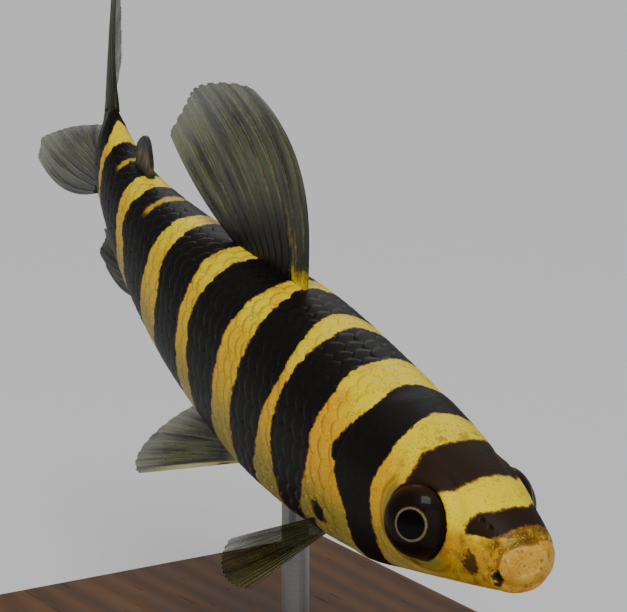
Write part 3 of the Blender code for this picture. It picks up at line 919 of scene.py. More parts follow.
@dataclass
class BodyShape:
    """The fish's outline and the relief on its head, as functions of station and angle."""

    power: float = 2.25
    nose: float = -0.005
    nose_rounding: float = 0.030
    gill: float = 0.240
    gill_bulge: float = 0.026
    scale_bed: float = 0.00014
    mouth_corner: float = 0.0175
    mouth_front: float = 0.0045
    corner_fold: float = 0.62
    nostril_fold: float = 0.244
    tail_thin_from: float = 0.980
    tail_thin_length: float = 0.045
    tail_thickness: float = 0.00035
    tail_round_from: float = 0.998
    tail_round_length: float = 0.024
    # Station, height above the midline, depth below it and half width, in lengths
    stations: tuple[tuple[float, float, float, float], ...] = (
        (-0.005, 0.020, 0.026, 0.026),
        (0.015, 0.029, 0.034, 0.034),
        (0.050, 0.045, 0.045, 0.044),
        (0.100, 0.062, 0.059, 0.056),
        (0.160, 0.079, 0.076, 0.066),
        (0.230, 0.093, 0.094, 0.075),
        (0.320, 0.106, 0.107, 0.080),
        (0.460, 0.117, 0.112, 0.080),
        (0.600, 0.104, 0.096, 0.069),
        (0.720, 0.084, 0.077, 0.054),
        (0.830, 0.065, 0.061, 0.039),
        (0.920, 0.051, 0.052, 0.027),
        (0.975, 0.051, 0.056, 0.019),
        (1.010, 0.055, 0.066, 0.012),
    )

    def through(self, column: int, at: Array) -> Array:
        """Reads one column of the table at some stations.

        The curve is a cubic between neighbouring stations, with the slopes that the
        table has there.
        """
        table = np.array(self.stations)
        x, y = table[:, 0], table[:, column]
        slope = np.gradient(y, x)
        at = np.clip(np.asarray(at, float), x[0], x[-1])
        left = np.clip(np.searchsorted(x, at, side="right") - 1, 0, len(x) - 2)
        width = x[left + 1] - x[left]
        t = (at - x[left]) / width
        rise = (1 + 2 * t) * (1 - t) ** 2 * y[left] + t * t * (3 - 2 * t) * y[left + 1]
        lean = t * (1 - t) ** 2 * slope[left] - t * t * (1 - t) * slope[left + 1]
        return rise + width * lean

    def section(self, station: Array, angle: Array) -> tuple[Array, Array]:
        """Metres left of and above the midline of the plain body.

        The section is a rounded box: sine and cosine of the angle to the power of
        2 / 2.25, times the half width and the height or depth. The nose is rounded as
        a quarter circle, and the tail thins into the root of its fin and is rounded off
        in it as part of an ellipse.
        """
        ahead = np.clip((station - self.nose) / self.nose_rounding, 0.0, 1.0)
        rounded = np.sqrt(np.clip(1.0 - (1.0 - ahead) ** 2, 0.0, 1.0))
        above, below, half = (self.through(k, station) * LENGTH * rounded for k in (1, 2, 3))
        past = np.clip((station - self.tail_round_from) / self.tail_round_length, 0.0, 1.0)
        rounded = 0.30 + 0.70 * np.sqrt(1.0 - past**2)
        thin = smooth_step((station - self.tail_thin_from) / self.tail_thin_length)
        half = half * (1 - thin) + self.tail_thickness * thin
        across, upward = np.sin(angle), np.cos(angle)
        power = 2.0 / self.power
        left = np.sign(across) * np.abs(across) ** power * half
        height = np.where(upward > 0, above * rounded, below * rounded)
        return left, np.sign(upward) * np.abs(upward) ** power * height

    def plain(self, station: Array, angle: Array) -> Array:
        """World points of the plain body."""
        return MIDLINE.place(station, *self.section(station, angle))

    def normal(self, station: Array, angle: Array) -> Array:
        """The way that the body faces: the cross product of its two tangents."""
        step = 1e-3
        along = self.plain(station + step, angle) - self.plain(station - step, angle)
        around = self.plain(station, angle + step) - self.plain(station, angle - step)
        facing = unit(np.cross(along, around))
        outward = self.plain(station, angle) - MIDLINE.point(station + 0.01)
        return facing * np.sign((facing * outward).sum(axis=-1, keepdims=True))

    def gill_line(self, angle: Array) -> Array:
        """Station of the gill opening, which bulges back on the sides."""
        return self.gill + self.gill_bulge * (np.abs(np.sin(angle)) ** 1.5 - 0.5)

    def eye_place(self, side: Side) -> tuple[Array, Array]:
        """An eye's middle and the way that it looks."""
        forward, left, up = MIDLINE.axes(EYE.station).T
        look = left * side.value + forward * math.tan(math.radians(EYE.turn_forward))
        look = unit(look + up * math.tan(math.radians(EYE.turn_up)))
        surface = self.plain(np.array(EYE.station), np.array(side.value * math.pi / 2))
        return surface + up * EYE.height - look * EYE.sink, look

    def folded(self, angle: Array) -> Array:
        """The fold at an angle, alike on both sides."""
        turned = (angle + math.pi) % (2 * math.pi) - math.pi
        return np.abs(turned) / math.pi

    def nostrils(self, station: Array, fold: Array) -> Array:
        """Height of two small nostrils a side: a pit with a raised rim round it."""
        height = np.zeros_like(station)
        aside = (fold - self.nostril_fold) * self.through(1, station) * 3.2
        for middle, size in ((0.0395, 0.0022), (0.0515, 0.0027)):
            away = np.hypot((station - middle) / size, aside / size)
            height += 0.00004 * bell((away - 1.35) / 0.5) - 0.00045 * bell(away / 0.75)
        return height

    def mouth_line(self, fold: Array) -> Array:
        """Station of the mouth round the snout, from its corner to its front below."""
        low = np.clip((fold - self.corner_fold) / (1 - self.corner_fold), 0.0, 1.0)
        low = low * (2.0 - low)
        return self.mouth_corner + (self.mouth_front - self.mouth_corner) * low

    def lips(self, station: Array, fold: Array) -> Array:
        """Height of the lips and the folds round them.

        The upper lip is a roll in front of the mouth's line and the lower lip one
        behind it. Where they meet the skin is drawn in as a slit, and a shallow
        crease runs from the corner up and over the snout, behind the upper lip.
        """
        beyond = station - self.mouth_line(fold)
        low = smooth_step((fold - self.corner_fold + 0.05) / 0.08)
        over, under = (beyond + 0.0100) / 0.0085, (beyond - 0.0085) / 0.0070
        rolls = 0.00022 * bell(over) + 0.00024 * low * bell(under)
        slit = -0.00080 * low * bell(beyond / 0.0020)
        pucker = -0.00035 * bell(beyond / 0.0035) * bell((fold - self.corner_fold) / 0.05)
        crease = station - (0.0088 + 0.0080 * smooth_step(fold / 0.46))
        crease = -0.00015 * bell(crease / 0.0026) * smooth_step((0.66 - fold) / 0.05)
        chin = -0.00010 * low * bell((beyond - 0.022) / 0.004)
        return rolls + slit + pucker + crease + chin

    def gill_relief(self, station: Array, angle: Array) -> Array:
        """Height of the gill cover: raised towards its edge, then a drop to the scale bed."""
        fold = self.folded(angle)
        beyond = station - self.gill_line(angle)
        low = smooth_step((fold - 0.20) / 0.22)
        swell = 0.00014 * low * smooth_step((beyond + 0.05) / 0.045)
        length = 0.0035 + 0.020 * (1.0 - low)
        bed = -(self.scale_bed + 0.00014 * low) * smooth_step((beyond + 0.4 * length) / length)
        groove = -0.00020 * low * bell((beyond - 0.002) / 0.0016)
        before = (station - 0.182 + 0.045 * (fold - 0.5) ** 2 * 4) / 0.003
        cheek = -0.00011 * bell(before) * smooth_step((fold - 0.42) / 0.1)
        return swell + bed + groove + cheek

    def from_eye(self, points: Array, side: Side) -> tuple[Array, Array, Array]:
        """How far points lie along an eye's look and away from it, and that look."""
        middle, look = self.eye_place(side)
        along = (points - middle) @ look
        away = np.linalg.norm(points - middle - along[..., None] * look, axis=-1)
        return along, away, look

    def surface(self, station: Array, angle: Array) -> Array:
        """World points of the skin: the plain body, its relief and the eyes' sockets.

        Near an eye the skin rises in a rim, and inside the rim it drops under the
        eyeball, to just inside the ball's own ellipsoid.
        """
        fold = self.folded(angle)
        height = self.lips(station, fold) + self.nostrils(station, fold)
        height = height + self.gill_relief(station, angle)
        points = self.plain(station, angle)
        outer = {}
        for side in Side:
            along, away, _ = self.from_eye(points, side)
            outer[side] = along > -EYE.radius * 0.7
            rim = 0.00027 * bell((away - EYE.radius - 0.00032) / 0.00055)
            trough = -0.00009 * bell((away - EYE.radius - 0.00165) / 0.0004)
            height = height + outer[side] * (rim + trough)
        points = points + self.normal(station, angle) * height[..., None]
        for side in Side:
            along, away, look = self.from_eye(points, side)
            share = np.clip(1.0 - (away / EYE.radius) ** 2, 0.0, 1.0)
            ball = EYE.half_thickness * np.sqrt(share) - 0.00035
            inside = outer[side] & (away < EYE.radius * 0.985) & (along > ball)
            points = points + np.where(inside, ball - along, 0.0)[..., None] * look
        return points

    def unwrapped(self, station: Array, turns: Array) -> Array:
        """Place on the unwrap: station along u and whole turns round the body along v."""
        return np.stack([0.02 + 0.94 * station / 1.03, 0.01 + 0.98 * turns], axis=-1)


BODY = BodyShape()


@dataclass
class Skin:
    """One closed skin from the lips to the root of the tail fin."""

    around: int = 250
    head_rings: int = 210
    trunk_rings: int = 150
    head_end: float = 0.29
    end: float = 1.020

    def stations(self) -> Array:
        """Stations of the rings, closest at the nose, where the body turns in to a point."""
        turn = np.linspace(0.02, 1.0, self.head_rings // 3)
        nose = BODY.nose + BODY.nose_rounding * (1.0 - np.cos(turn * math.pi / 2))
        head = np.linspace(nose[-1], self.head_end, self.head_rings - len(nose) + 1)[1:]
        trunk = np.linspace(head[-1], self.end, self.trunk_rings + 1)[1:]
        return np.concatenate([nose, head, trunk])

    def build(self) -> bpy.types.Object:
        """Makes the skin: rings of points, closed by a fan at the nose and a strip at the tail."""
        rings = self.stations()
        count = len(rings)
        angles = (np.arange(self.around) + 0.5) * 2 * math.pi / self.around
        station, angle = np.meshgrid(rings, angles, indexing="ij")
        points = BODY.surface(station, angle).reshape(-1, 3)
        lay = np.stack([station.ravel(), BODY.folded(angle).ravel(), self.away(points)], axis=-1)
        lay = np.vstack([lay, [BODY.nose, 0.5, 9.0]])
        fan = fan_faces(self.around, 0, len(points), -1)
        close = strip_faces(self.around, (count - 1) * self.around, -1)
        faces = np.vstack([tube_faces(count, self.around), fan, close])
        points = np.vstack([points, points[: self.around].mean(axis=0)])
        unwrap = BODY.unwrapped(lay[:, 0][faces], self.corner_turns(faces, count))
        finish = BodyFinish("skin_moist").make()
        skin = build_mesh("skin", points, faces, finish, lay, unwrap)
        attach(skin, "root")
        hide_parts("head", "trunk", "tail_stalk")
        return skin

    def away(self, points: Array) -> Array:
        """How far points lie from the nearer eye's middle, in radii of the eye."""
        found = [np.linalg.norm(points - BODY.eye_place(side)[0], axis=-1) for side in Side]
        return np.minimum(np.minimum(*found) / EYE.radius, 9.0)

    def corner_turns(self, faces: Array, count: int) -> Array:
        """How far round the body each corner of each face lies, with the seam opened."""
        turns = np.tile(np.arange(self.around) + 0.5, count) / self.around
        turns = np.append(turns, 0.5)[faces]
        quads = turns[: (count - 1) * self.around]
        wrapped = (quads.max(axis=1, keepdims=True) - quads > 0.5) & (quads < 0.5)
        turns[: len(quads)] = quads + wrapped
        return turns


@dataclass
class ScaleCoat:
    """Overlapping scales in rows along the body, on one side of the fish."""

    side: Side
    rows: int = 13
    columns: int = 43
    points_along: int = 7
    points_across: int = 7
    overlap: float = 1.75
    width: float = 0.74
    corner_pull: float = 0.42
    pressed: float = 0.35
    lift: float = 0.00007
    sink: float = 0.00008
    crown: float = 0.00002
    line_tube: float = 0.00004
    start_depth: float = 0.00022
    thickness: float = 0.00003
    patch: float = 0.003
    blend: float = 0.85
    # Random spread of the scales' lengths and widths as shares, and of their heights
    spreads: tuple[float, ...] = (0.04, 0.03, 0.000006)
    seed: int = 7

    def roots(self) -> tuple[Array, Array, Array]:
        """Station, angle and length of each scale, in rows that are set off by half a scale."""
        share = np.linspace(0.0, 1.0, 200)
        size = 0.55 + 0.45 * BODY.through(1, 0.235 + share * 0.765) / 0.117
        walked = np.concatenate([[0.0], np.cumsum((size[1:] + size[:-1]) / 2)])
        row, column = np.meshgrid(np.arange(self.rows), np.arange(-1, self.columns), indexing="ij")
        place = (column + 0.5 * (row % 2)) / self.columns
        angle = (row + 0.5) / self.rows * math.pi
        start = BODY.gill_line(angle) - 0.004
        along = np.interp(place, walked / walked[-1], share) + np.minimum(place, 0.0)
        pitch = np.interp(place, share, size) / size.mean() / self.columns
        station = start + (1.0 - start) * along
        return station.ravel(), angle.ravel(), (pitch * (1.0 - start)).ravel()

    def heights(self, at: Array, turn: Array, out: Array, wide: Array, middle: Array) -> Array:
        """Heights of the scales' tops over the plain body.

        A scale rises from under the skin to its free edge and is slightly crowned. In
        the middle row it has the lateral line's tube, and by the gill opening it
        starts below the skin.
        """
        rise = (out - 0.30 * out * wide**2) ** 0.85
        height = BODY.gill_relief(at, turn) - self.sink + (self.sink + self.lift) * rise
        height = height + self.crown * np.sin(out * math.pi) * (1 - wide**2)
        tube = bell(wide / 0.16) * smooth_step((out - 0.25) / 0.1) * smooth_step((0.80 - out) / 0.1)
        height = height + self.line_tube * middle * tube
        nape = 1.0 - smooth_step((BODY.folded(turn) - 0.20) / 0.22)
        thin = smooth_step((at - BODY.gill_line(turn)) / (0.006 + 0.030 * nape))
        return height - self.start_depth * (1 - thin)

    def build(self) -> bpy.types.Object:
        """Makes the scales as one mesh.

        A scale is a grid of points: out from its root, and across, where its free
        edge is rounded by pulling back its corners with the square of the distance
        from its middle. A wall and a fan under its rim close it. Past the tail's root
        the scales are pressed together.
        """
        draw = np.random.default_rng(self.seed + self.side.value)
        station, angle, pitch = self.roots()
        steps = (np.linspace(0.0, 1.0, self.points_along), np.linspace(-1.0, 1.0, self.points_across))
        out, wide = (grid.ravel() for grid in np.meshgrid(*steps, indexing="ij"))
        jitter = draw.normal(0.0, 1.0, (3, len(station))) * np.array(self.spreads)[:, None]
        length = (pitch * self.overlap * (1.0 + jitter[0]))[:, None]
        half = (math.pi / self.rows * self.width * (1.0 + jitter[1]))[:, None]
        spread = half * wide * (0.80 + 0.22 * np.sin(np.minimum(out, 0.6) / 0.6 * math.pi / 2))
        at = station[:, None] + length * (out - self.corner_pull * out * wide**2)
        at = np.where(at > 1.0, 1.0 + (at - 1.0) * self.pressed, at)
        turn = (angle[:, None] + spread) * self.side.value
        middle = (np.abs(angle / math.pi - 0.5) < 0.5 / self.rows)[:, None]
        height = self.heights(at, turn, out, wide, middle) + jitter[2][:, None] * out
        surface, facing = BODY.plain(at, turn), BODY.normal(at, turn)
        rim = self.rim()
        top = surface + facing * height[..., None]
        bottom = surface[:, rim] + facing[:, rim] * (height[:, rim] - self.thickness)[..., None]
        points = np.concatenate([top, bottom, bottom.mean(axis=1, keepdims=True)], axis=1)
        faces = self.scale_faces(rim, len(out))
        starts = (np.arange(len(station)) * points.shape[1])[:, None, None]
        places = (at, station[:, None] + length * 0.55), (turn, angle[:, None] * self.side.value)
        lay = [self.carried(grid, rim, root) for grid, root in places]
        lay = np.stack([lay[0], BODY.folded(lay[1]), np.full_like(lay[1], 9.0)], axis=-1)
        turns = (angle * self.side.value / (2 * math.pi)) % 1.0
        local = np.stack([out - 0.5, wide / 2], axis=-1) * self.patch
        local = np.concatenate([local, local[rim] * 0.98, np.zeros((1, 2))])
        corner = (BODY.unwrapped(station, turns)[:, None] + local[None])[:, faces].reshape(-1, 4, 2)
        faces = (faces[None] + starts).reshape(-1, 4)
        finish = BodyFinish(f"scales_{self.side.word}_moist", 0.46, 0.08).make()
        name = f"scales_{self.side.word}"
        coat = build_mesh(name, points.reshape(-1, 3), faces, finish, lay.reshape(-1, 3), corner)
        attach(coat, "root")
        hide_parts("trunk", "tail_stalk")
        return coat

    def carried(self, grid: Array, rim: Array, root: Array) -> Array:
        """Values at all points of the scales, drawn a little towards those at their roots."""
        every = np.concatenate([grid, grid[:, rim], grid.mean(axis=1, keepdims=True)], axis=1)
        return root + (every - root) * self.blend

    def rim(self) -> Array:
        """Numbers of the grid's points on its border, in order round it."""
        grid = np.arange(self.points_along * self.points_across)
        grid = grid.reshape(self.points_along, self.points_across)
        return np.concatenate([grid[0, :-1], grid[:-1, -1], grid[-1, :0:-1], grid[:0:-1, 0]])

    def scale_faces(self, rim: Array, top: int) -> Array:
        """Faces of one scale: its top, a wall round its border, and a fan under it."""
        step = np.arange(len(rim))
        after = (step + 1) % len(rim)
        wall = np.stack([rim[step], rim[after], top + after, top + step], axis=-1)
        fan = fan_faces(len(rim), top, top + len(rim), 1)
        return np.vstack([grid_faces(self.points_along, self.points_across), wall, fan])


@dataclass
class Eye:
    """An eyeball with a clear swell over its pupil."""

    side: Side
    around: int = 96
    rings: int = 64

    def build(self) -> bpy.types.Object:
        """Makes the eye.

        It is an ellipsoid of rings from the pupil's middle to the back, at the polar
        angle t: radius times sin t across and half thickness times cos t along the
        look, plus a low bell round the pole.
        """
        middle, look = BODY.eye_place(self.side)
        up = MIDLINE.axes(EYE.station)[:, 2]
        up = unit(up - look * (up @ look))
        polar = np.linspace(0.0, math.pi, self.rings + 2)[1:-1]
        turns = np.arange(self.around) * 2 * math.pi / self.around
        t, p = np.meshgrid(polar, turns, indexing="ij")
        radius = EYE.radius * np.sin(t)
        deep = EYE.half_thickness * np.cos(t) + EYE.cornea * bell(np.sin(t) / 0.5) * (t < 1.6)
        shift = radius * np.cos(p), radius * np.sin(p), deep
        points = middle + sum(s[..., None] * v for s, v in zip(shift, (np.cross(up, look), up, look)))
        front, back = EYE.half_thickness + EYE.cornea, -EYE.half_thickness
        points = np.vstack([points.reshape(-1, 3), middle + look * front, middle + look * back])
        away = np.where(t < math.pi / 2, np.sin(t), 2.0 - np.sin(t))
        lay = np.stack([away, p / (2 * math.pi), np.cos(t)], axis=-1).reshape(-1, 3)
        lay = np.vstack([lay, [0.0, 0.5, 1.0], [2.0, 0.5, -1.0]])
        count = self.rings * self.around
        fans = [
            fan_faces(self.around, 0, count, -1),
            fan_faces(self.around, count - self.around, count + 1, 1),
        ]
        faces = np.vstack([tube_faces(self.rings, self.around), *fans])
        finish = EyeFinish(f"eye_{self.side.word}_wet").make()
        eye = build_mesh(f"eyeball_{self.side.word}", points, faces, finish, lay)
        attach(eye, "root")
        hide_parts(f"eye_{self.side.word}")
        return eye


# ---- Fins


@dataclass
class Fin:
    """A fin round a sheet of points, with rays that branch towards its edge."""

    name: str
    node: str
    sheet: Callable[[Array, Array], Array]
    rays: int
    finish: FinFinish
    rows: int = 64
    columns_per_ray: int = 24
    membrane: float = 0.00012
    ray_height: float = 0.00017
    base: float = 0.00045
    base_reach: float = 0.10
    branch_from: float = 0.24
    splits: Pair = (0.155, 0.075)
    ray_width: float = 0.130
    ray_narrowing: float = 0.075
    ray_taper: float = 0.62
    first_ray: float = 0.9
    edge_thinning: float = 0.35
    fringe: float = 0.012

    def ridges(self, across: Array, out: Array) -> Array:
        """How much a ray stands proud, from 0 on the membrane to 1 on a ray.

        Each ray is a bell across its share of the fin, and past a point along it
        the bell parts into two, and near the edge each of those into two again. The
        first ray stays whole.
        """
        phase = across * self.rays
        number = np.clip(np.floor(phase), 0, self.rays - 1)
        offset = phase - number - 0.5
        parts = (number > 0) * 1.0
        first = self.splits[0] * parts * smooth_step((out - self.branch_from) / 0.55)
        second = self.splits[1] * parts * smooth_step((out - self.branch_from - 0.30) / 0.35)
        width = self.ray_width - self.ray_narrowing * smooth_step(out / 0.80) * parts
        ways = [(a, b) for a in (-1.0, 1.0) for b in (-1.0, 1.0)]
        return np.max([bell((offset - a * first - b * second) / width) for a, b in ways], axis=0)

    def build(self) -> bpy.types.Object:
        """Makes the fin: both faces of the sheet, shifted along its normal, and closed ends.

        Its thickness is that of the membrane, plus the rays, plus a fleshy root.
        """
        rows = np.linspace(0.0, 1.0, self.rows) ** 0.9
        columns = np.linspace(0.0, 1.0, self.rays * self.columns_per_ray + 1)
        out, across = np.meshgrid(rows, columns, indexing="ij")
        ray = self.ridges(across, out)
        reach = out * (1.0 - self.fringe * (1.0 - ray) * smooth_step((out - 0.9) / 0.1))
        points = self.sheet(across, reach)
        normal = unit(np.cross(np.gradient(points, axis=1), np.gradient(points, axis=0)))
        lead = 1.0 + self.first_ray * bell(across / 0.05)
        thick = self.membrane + self.ray_height * ray * (1.0 - self.ray_taper * out) * lead
        thick = thick + self.base * bell(out / self.base_reach)
        thick = thick * (1.0 - self.edge_thinning * smooth_step((out - 0.85) / 0.15))
        shift = normal * thick[..., None] / 2
        first = points[:, :1] + (points[:, :1] - points[:, 1:2]) * 0.5
        last = points[:, -1:] + (points[:, -1:] - points[:, -2:-1]) * 0.5
        rings = np.concatenate([first, points + shift, last, (points - shift)[:, ::-1]], axis=1)
        lay = np.stack([across, out, ray], axis=-1)
        lay = np.concatenate([lay[:, :1], lay, lay[:, -1:], lay[:, ::-1]], axis=1)
        around = rings.shape[1]
        ends = (strip_faces(around, 0, 1), strip_faces(around, (self.rows - 1) * around, -1))
        faces = np.vstack([tube_faces(self.rows, around), *ends])
        finish = self.finish.make()
        fin = build_mesh(self.name, rings.reshape(-1, 3), faces, finish, lay.reshape(-1, 3))
        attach(fin, "root")
        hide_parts(self.node)
        return fin


def curve_through(points: tuple[Pair, ...], share: Array) -> Array:
    """A parabola through three points at the shares 0, a half and 1."""
    first, middle, last = (np.array(point) for point in points)
    share = share[..., None]
    near = first * (1 - share) * (1 - 2 * share) + middle * 4 * share * (1 - share)
    return near + last * share * (2 * share - 1)


@dataclass
class PlaneSheet:
    """The sheet of a fin in the middle plane, on the back or the belly."""

    origin: float
    stations: Pair
    tips: tuple[Pair, ...]
    arches: Pair = (0.0, 0.0)
    sink: float = 0.0007
    wave: float = 0.0

    def __call__(self, across: Array, out: Array) -> Array:
        """Points from the root on the body to a parabola of tips, each ray arched.

        Args:
            across: 0 at the leading ray to 1 at the last.
            out: 0 at the root to 1 at the edge.

        Returns:
            World points.
        """
        axes = MIDLINE.axes(self.origin)
        back, up = -axes[:, 0] * LENGTH, axes[:, 2] * LENGTH
        way = 1.0 if self.tips[0][1] > 0 else -1.0
        station = between(self.stations, across)
        angle = np.full_like(station, 0.0 if way > 0 else math.pi)
        root = BODY.plain(station, angle) - MIDLINE.axes(station)[..., :, 2] * way * self.sink
        found = curve_through(self.tips, across)
        tip = MIDLINE.point(self.origin) + found[..., :1] * back + found[..., 1:] * up
        outward = np.cross(axes[:, 1], unit(tip - root)) * way
        size = between(self.arches, across)
        arch = outward * (size * LENGTH * 4 * out * (1 - out))[..., None]
        sway = self.wave * np.sin(across * 9.0 + 1.0) * out**1.5
        return root + (tip - root) * out[..., None] + arch + axes[:, 1] * sway[..., None]


@dataclass
class CaudalSheet:
    """The sheet of one lobe of the forked tail fin, between two shares from top to bottom."""

    span: Pair
    root_heights: Pair = (0.056, -0.080)
    fork: float = 0.066
    reach: float = 0.245
    tip_height: float = 0.190
    tip_round: float = 0.028
    middle: float = -0.038
    sway: float = 0.045
    arch: float = 0.024
    sink: float = 0.008

    def __call__(self, across: Array, out: Array) -> Array:
        """Points from the tail's root to the fin's margin.

        The margin's reach grows from the fork to the tip with the height's power of
        0.9 and is rounded off at the tip, and the upper lobe sways to the fish's left.
        """
        axes = MIDLINE.axes(1.0)
        back, left, up = -axes[:, 0] * LENGTH, axes[:, 1] * LENGTH, axes[:, 2] * LENGTH
        side = 1 - 2 * between(self.span, across)
        height = between(self.root_heights, (1 - side) / 2)
        middle = MIDLINE.point(1.0)
        root = middle + height[..., None] * up - self.sink * back
        far = np.abs(side)
        reach = self.fork + (self.reach - self.fork) * far**0.9
        reach = reach - self.tip_round * smooth_step((far - 0.8) / 0.2)
        rise = self.middle + np.sign(side) * self.tip_height * far
        sway = self.sway * smooth_step((side + 0.35) / 0.7)
        tip = middle + reach[..., None] * back + rise[..., None] * up + sway[..., None] * left
        bend = -0.25 * sway[..., None] * left + self.arch * side[..., None] ** 3 * up
        return root + (tip - root) * out[..., None] + bend * (4 * out * (1 - out))[..., None]


@dataclass
class PairedSheet:
    """The sheet of a fin of a pair, from a root on the lower side of the body."""

    side: Side
    stations: Pair
    angles: Pair
    ends: tuple[Point, Point]
    bulge: float
    sink: float = 0.0012

    def __call__(self, across: Array, out: Array) -> Array:
        """Points out from the root, along rays between the first and the last.

        The rays in the middle are longer by the bulge times 4a(1 - a).
        """
        axes = MIDLINE.axes(sum(self.stations) / 2)
        ways = np.stack([-axes[:, 0], self.side.value * axes[:, 1], -axes[:, 2]]) * LENGTH
        station = between(self.stations, across)
        turn = self.side.value * np.radians(between(self.angles, across))
        root = BODY.plain(station, turn) - BODY.normal(station, turn) * self.sink
        share = across[..., None]
        ray = np.array(self.ends[0]) * (1 - share) + np.array(self.ends[1]) * share
        ray = ray * (1 + self.bulge * 4 * share * (1 - share))
        cup = -0.0008 * np.sin(across * math.pi) * out * (1 - out) * 4
        return root + (ray @ ways) * out[..., None] + axes[:, 1] * (self.side.value * cup)[..., None]


def middle_fins() -> list[Fin]:
    """The dorsal, adipose, anal and caudal fins, with the sizes that the solids have."""
    tips = ((0.125, 0.281), (0.228, 0.238), (0.269, 0.165))
    sheet = PlaneSheet(0.50, (0.460, 0.590), tips, (0.055, -0.012), wave=0.0005)
    finish = FinFinish("dorsal_membrane", (0.470, 0.556), 0.02, dusk=0.34)
    made = [Fin("dorsal_fin", "fin_dorsal", sheet, 11, finish)]
    tips = ((-0.006, 0.085), (0.018, 0.100), (0.042, 0.077))
    sheet = PlaneSheet(0.85, (0.832, 0.880), tips)
    colours = (0.19, 0.145, 0.055), (0.25, 0.20, 0.085)
    looks = {"clear": 0.10, "fleshy": 0.05, "dusk": 0.1, "black_rim": 0.95}
    finish = FinFinish("adipose_flesh", (0.832, 0.842), 0.02, *colours, **looks)
    sizes = {"membrane": 0.00045, "ray_height": 0.00005, "base": 0.0005, "base_reach": 0.35}
    made.append(Fin("adipose_fin", "fin_adipose", sheet, 2, finish, rows=40, fringe=0.0, **sizes))
    tips = ((0.108, -0.116), (0.122, -0.098), (0.122, -0.070))
    sheet = PlaneSheet(0.82, (0.782, 0.872), tips, (0.017, 0.0), wave=0.0003)
    colours = (0.020, 0.018, 0.007), (0.075, 0.066, 0.028)
    finish = FinFinish("anal_membrane", (0.812, 0.872), 0.7, *colours, dusk=0.55, clear=0.15)
    made.append(Fin("anal_fin", "fin_anal", sheet, 9, finish, rows=48))
    half_gap = 0.006
    colours = (0.068, 0.068, 0.014), (0.20, 0.19, 0.060)
    for word, span in (("upper", (0.0, 0.5 - half_gap)), ("lower", (0.5 + half_gap, 1.0))):
        name = f"caudal_{word}_membrane"
        finish = FinFinish(name, (1.010, 1.03), 0.3, *colours, dusk=0.12, fleshy=0.08)
        node = f"fin_caudal_{word}"
        made.append(Fin(f"caudal_{word}_lobe", node, CaudalSheet(span), 9, finish, base=0.0006))
    return made


def paired_fins() -> list[Fin]:
    """The pelvic and pectoral fins; the right pectoral is the more open."""
    pelvic_ends = ((0.158, 0.046, 0.092), (0.085, -0.004, 0.002))
    pectoral_ends = {
        Side.RIGHT: ((0.104, 0.053, 0.068), (0.116, 0.024, 0.126)),
        Side.LEFT: ((0.125, 0.040, 0.030), (0.120, 0.015, 0.062)),
    }
    made = []
    for side in Side:
        word = side.word
        sheet = PairedSheet(side, (0.470, 0.520), (153.0, 156.0), pelvic_ends, 0.24)
        looks = {"leading": 0.95, "dusk": 0.45, "fleshy": 0.05}
        finish = FinFinish(f"pelvic_{word}_membrane", (0.470, 0.520), 0.86, **looks)
        made.append(Fin(f"pelvic_fin_{word}", f"fin_pelvic_{word}", sheet, 9, finish, rows=48))
        sheet = PairedSheet(side, (0.284, 0.289), (125.0, 143.0), pectoral_ends[side], 0.18)
        looks = {"trailing": 0.95, "dusk": 0.12, "clear": 0.36}
        finish = FinFinish(f"pectoral_{word}_membrane", (0.284, 0.289), 0.66, **looks)
        names = f"pectoral_fin_{word}", f"fin_pectoral_{word}"
        made.append(Fin(*names, sheet, 13, finish, rows=48, columns_per_ray=12))
    return made


# ---- Stand, floor, light and camera


@dataclass
class Stand:
    """The base and the rod, which keep their shapes and get finer materials."""

    def dress(self) -> list[bpy.types.Object]:
        """Puts walnut on the base and steel on the rod."""
        dressed = []
        for node, finish, slot in (
            ("stand_base", WalnutFinish("walnut_oiled"), Slot.WALNUT),
            ("stand_rod", SteelFinish("steel_brushed"), Slot.STEEL),
        ):
            piece = frame["nodes"][node]
            made = finish.make()
            for place in piece.material_slots:
                place.link = "OBJECT"
                place.material = made
            dressed.append(piece)
        return dressed


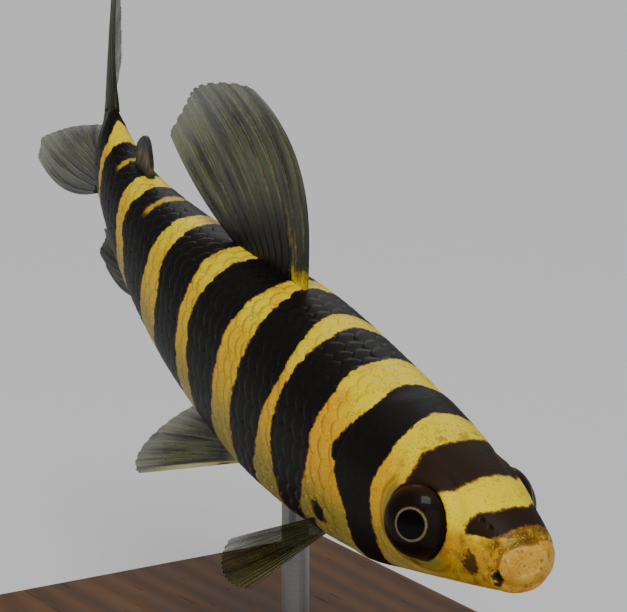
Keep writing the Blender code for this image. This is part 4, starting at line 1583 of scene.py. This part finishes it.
@dataclass
class Studio:
    """A pale floor, soft lights and the camera at the photo's angle."""

    floor_half: float = 3.0
    floor_points: int = 9
    azimuth: float = 58.2
    elevation: float = 14.0
    focal_pixels: float = 3500.0
    picture_width: float = 627.0
    sensor_width: float = 36.0
    offset: Point = (-0.0017, -0.0091, -0.3766)
    lit_point: Point = (0.0, 0.0, 0.045)
    surroundings: Colour = (0.86, 0.88, 0.90)
    surroundings_strength: float = 0.26
    # Name, place, size in metres and watts of each light
    lights: tuple[tuple[str, Point, float, float], ...] = (
        ("key_light", (0.36, -0.33, 0.95), 0.40, 6.4),
        ("fill_light", (0.80, -0.30, 0.30), 0.60, 1.2),
        ("back_light", (-0.65, 0.45, 0.60), 0.60, 2.0),
    )

    def floor(self) -> None:
        """A flat grid under the stand."""
        line = np.linspace(-self.floor_half, self.floor_half, self.floor_points)
        x, y = np.meshgrid(line, line, indexing="ij")
        points = np.stack([x, y, np.zeros_like(x)], axis=-1).reshape(-1, 3)
        faces = grid_faces(self.floor_points, self.floor_points)
        floor = build_mesh("floor", points, faces, FloorFinish("floor_card").make())

    @staticmethod
    def put(name: str, data: bpy.types.ID, backward: Array, place: Array) -> bpy.types.Object:
        """Adds a light or a camera that looks against the backward direction, upright."""
        right = unit(np.cross([0.0, 0.0, 1.0], backward))
        rows = np.column_stack([right, np.cross(backward, right), backward, place])
        holder = bpy.data.objects.new(name, data)
        holder.matrix_world = Matrix([*rows.tolist(), [0.0, 0.0, 0.0, 1.0]])
        bpy.context.scene.collection.objects.link(holder)
        return holder

    def light(self, name: str, place: Point, size: float, watts: float) -> None:
        """Adds a square soft light that faces the fish."""
        lamp = bpy.data.lights.new(name, "AREA")
        lamp.shape = "SQUARE"
        lamp.size = size
        lamp.energy = watts
        self.put(name, lamp, unit(np.array(place) - np.array(self.lit_point)), np.array(place))

    def camera(self) -> None:
        """Sets up the camera where the photo was taken from."""
        azimuth, elevation = math.radians(self.azimuth), math.radians(self.elevation)
        flat = math.cos(elevation)
        backward = np.array([math.sin(azimuth) * flat, -math.cos(azimuth) * flat, math.sin(elevation)])
        right = np.array([math.cos(azimuth), math.sin(azimuth), 0.0])
        axes = np.array([right, np.cross(backward, right), backward])
        lens = bpy.data.cameras.new("photo_camera")
        lens.sensor_width = self.sensor_width
        lens.lens = self.sensor_width * self.focal_pixels / self.picture_width
        lens.clip_start = 0.01
        place = np.array(MIDLINE.middle_point) - np.array(self.offset) @ axes
        bpy.context.scene.camera = self.put("photo_camera", lens, backward, place)

    def build(self) -> None:
        """Makes the floor, the lights, the pale surroundings and the camera."""
        self.floor()
        for light in self.lights:
            self.light(*light)
        world = bpy.data.worlds.new("pale_surroundings")
        world.use_nodes = True
        background = world.node_tree.nodes["Background"].inputs
        background["Color"].default_value = (*self.surroundings, 1.0)
        background["Strength"].default_value = self.surroundings_strength
        bpy.context.scene.world = world
        self.camera()


def main() -> None:
    """Builds the fish, dresses its stand and sets up the studio."""
    logging.basicConfig(level=logging.INFO, format="%(name)s: %(message)s")
    pieces = [Skin().build()]
    pieces += [ScaleCoat(side).build() for side in Side]
    pieces += [Eye(side).build() for side in Side]
    pieces += [fin.build() for fin in middle_fins() + paired_fins()]
    pieces += Stand().dress()
    for piece in pieces:
        LOG.info("%s: %d faces", piece.name, len(piece.data.polygons))
    Studio().build()


if __name__ == "__main__":
    main()
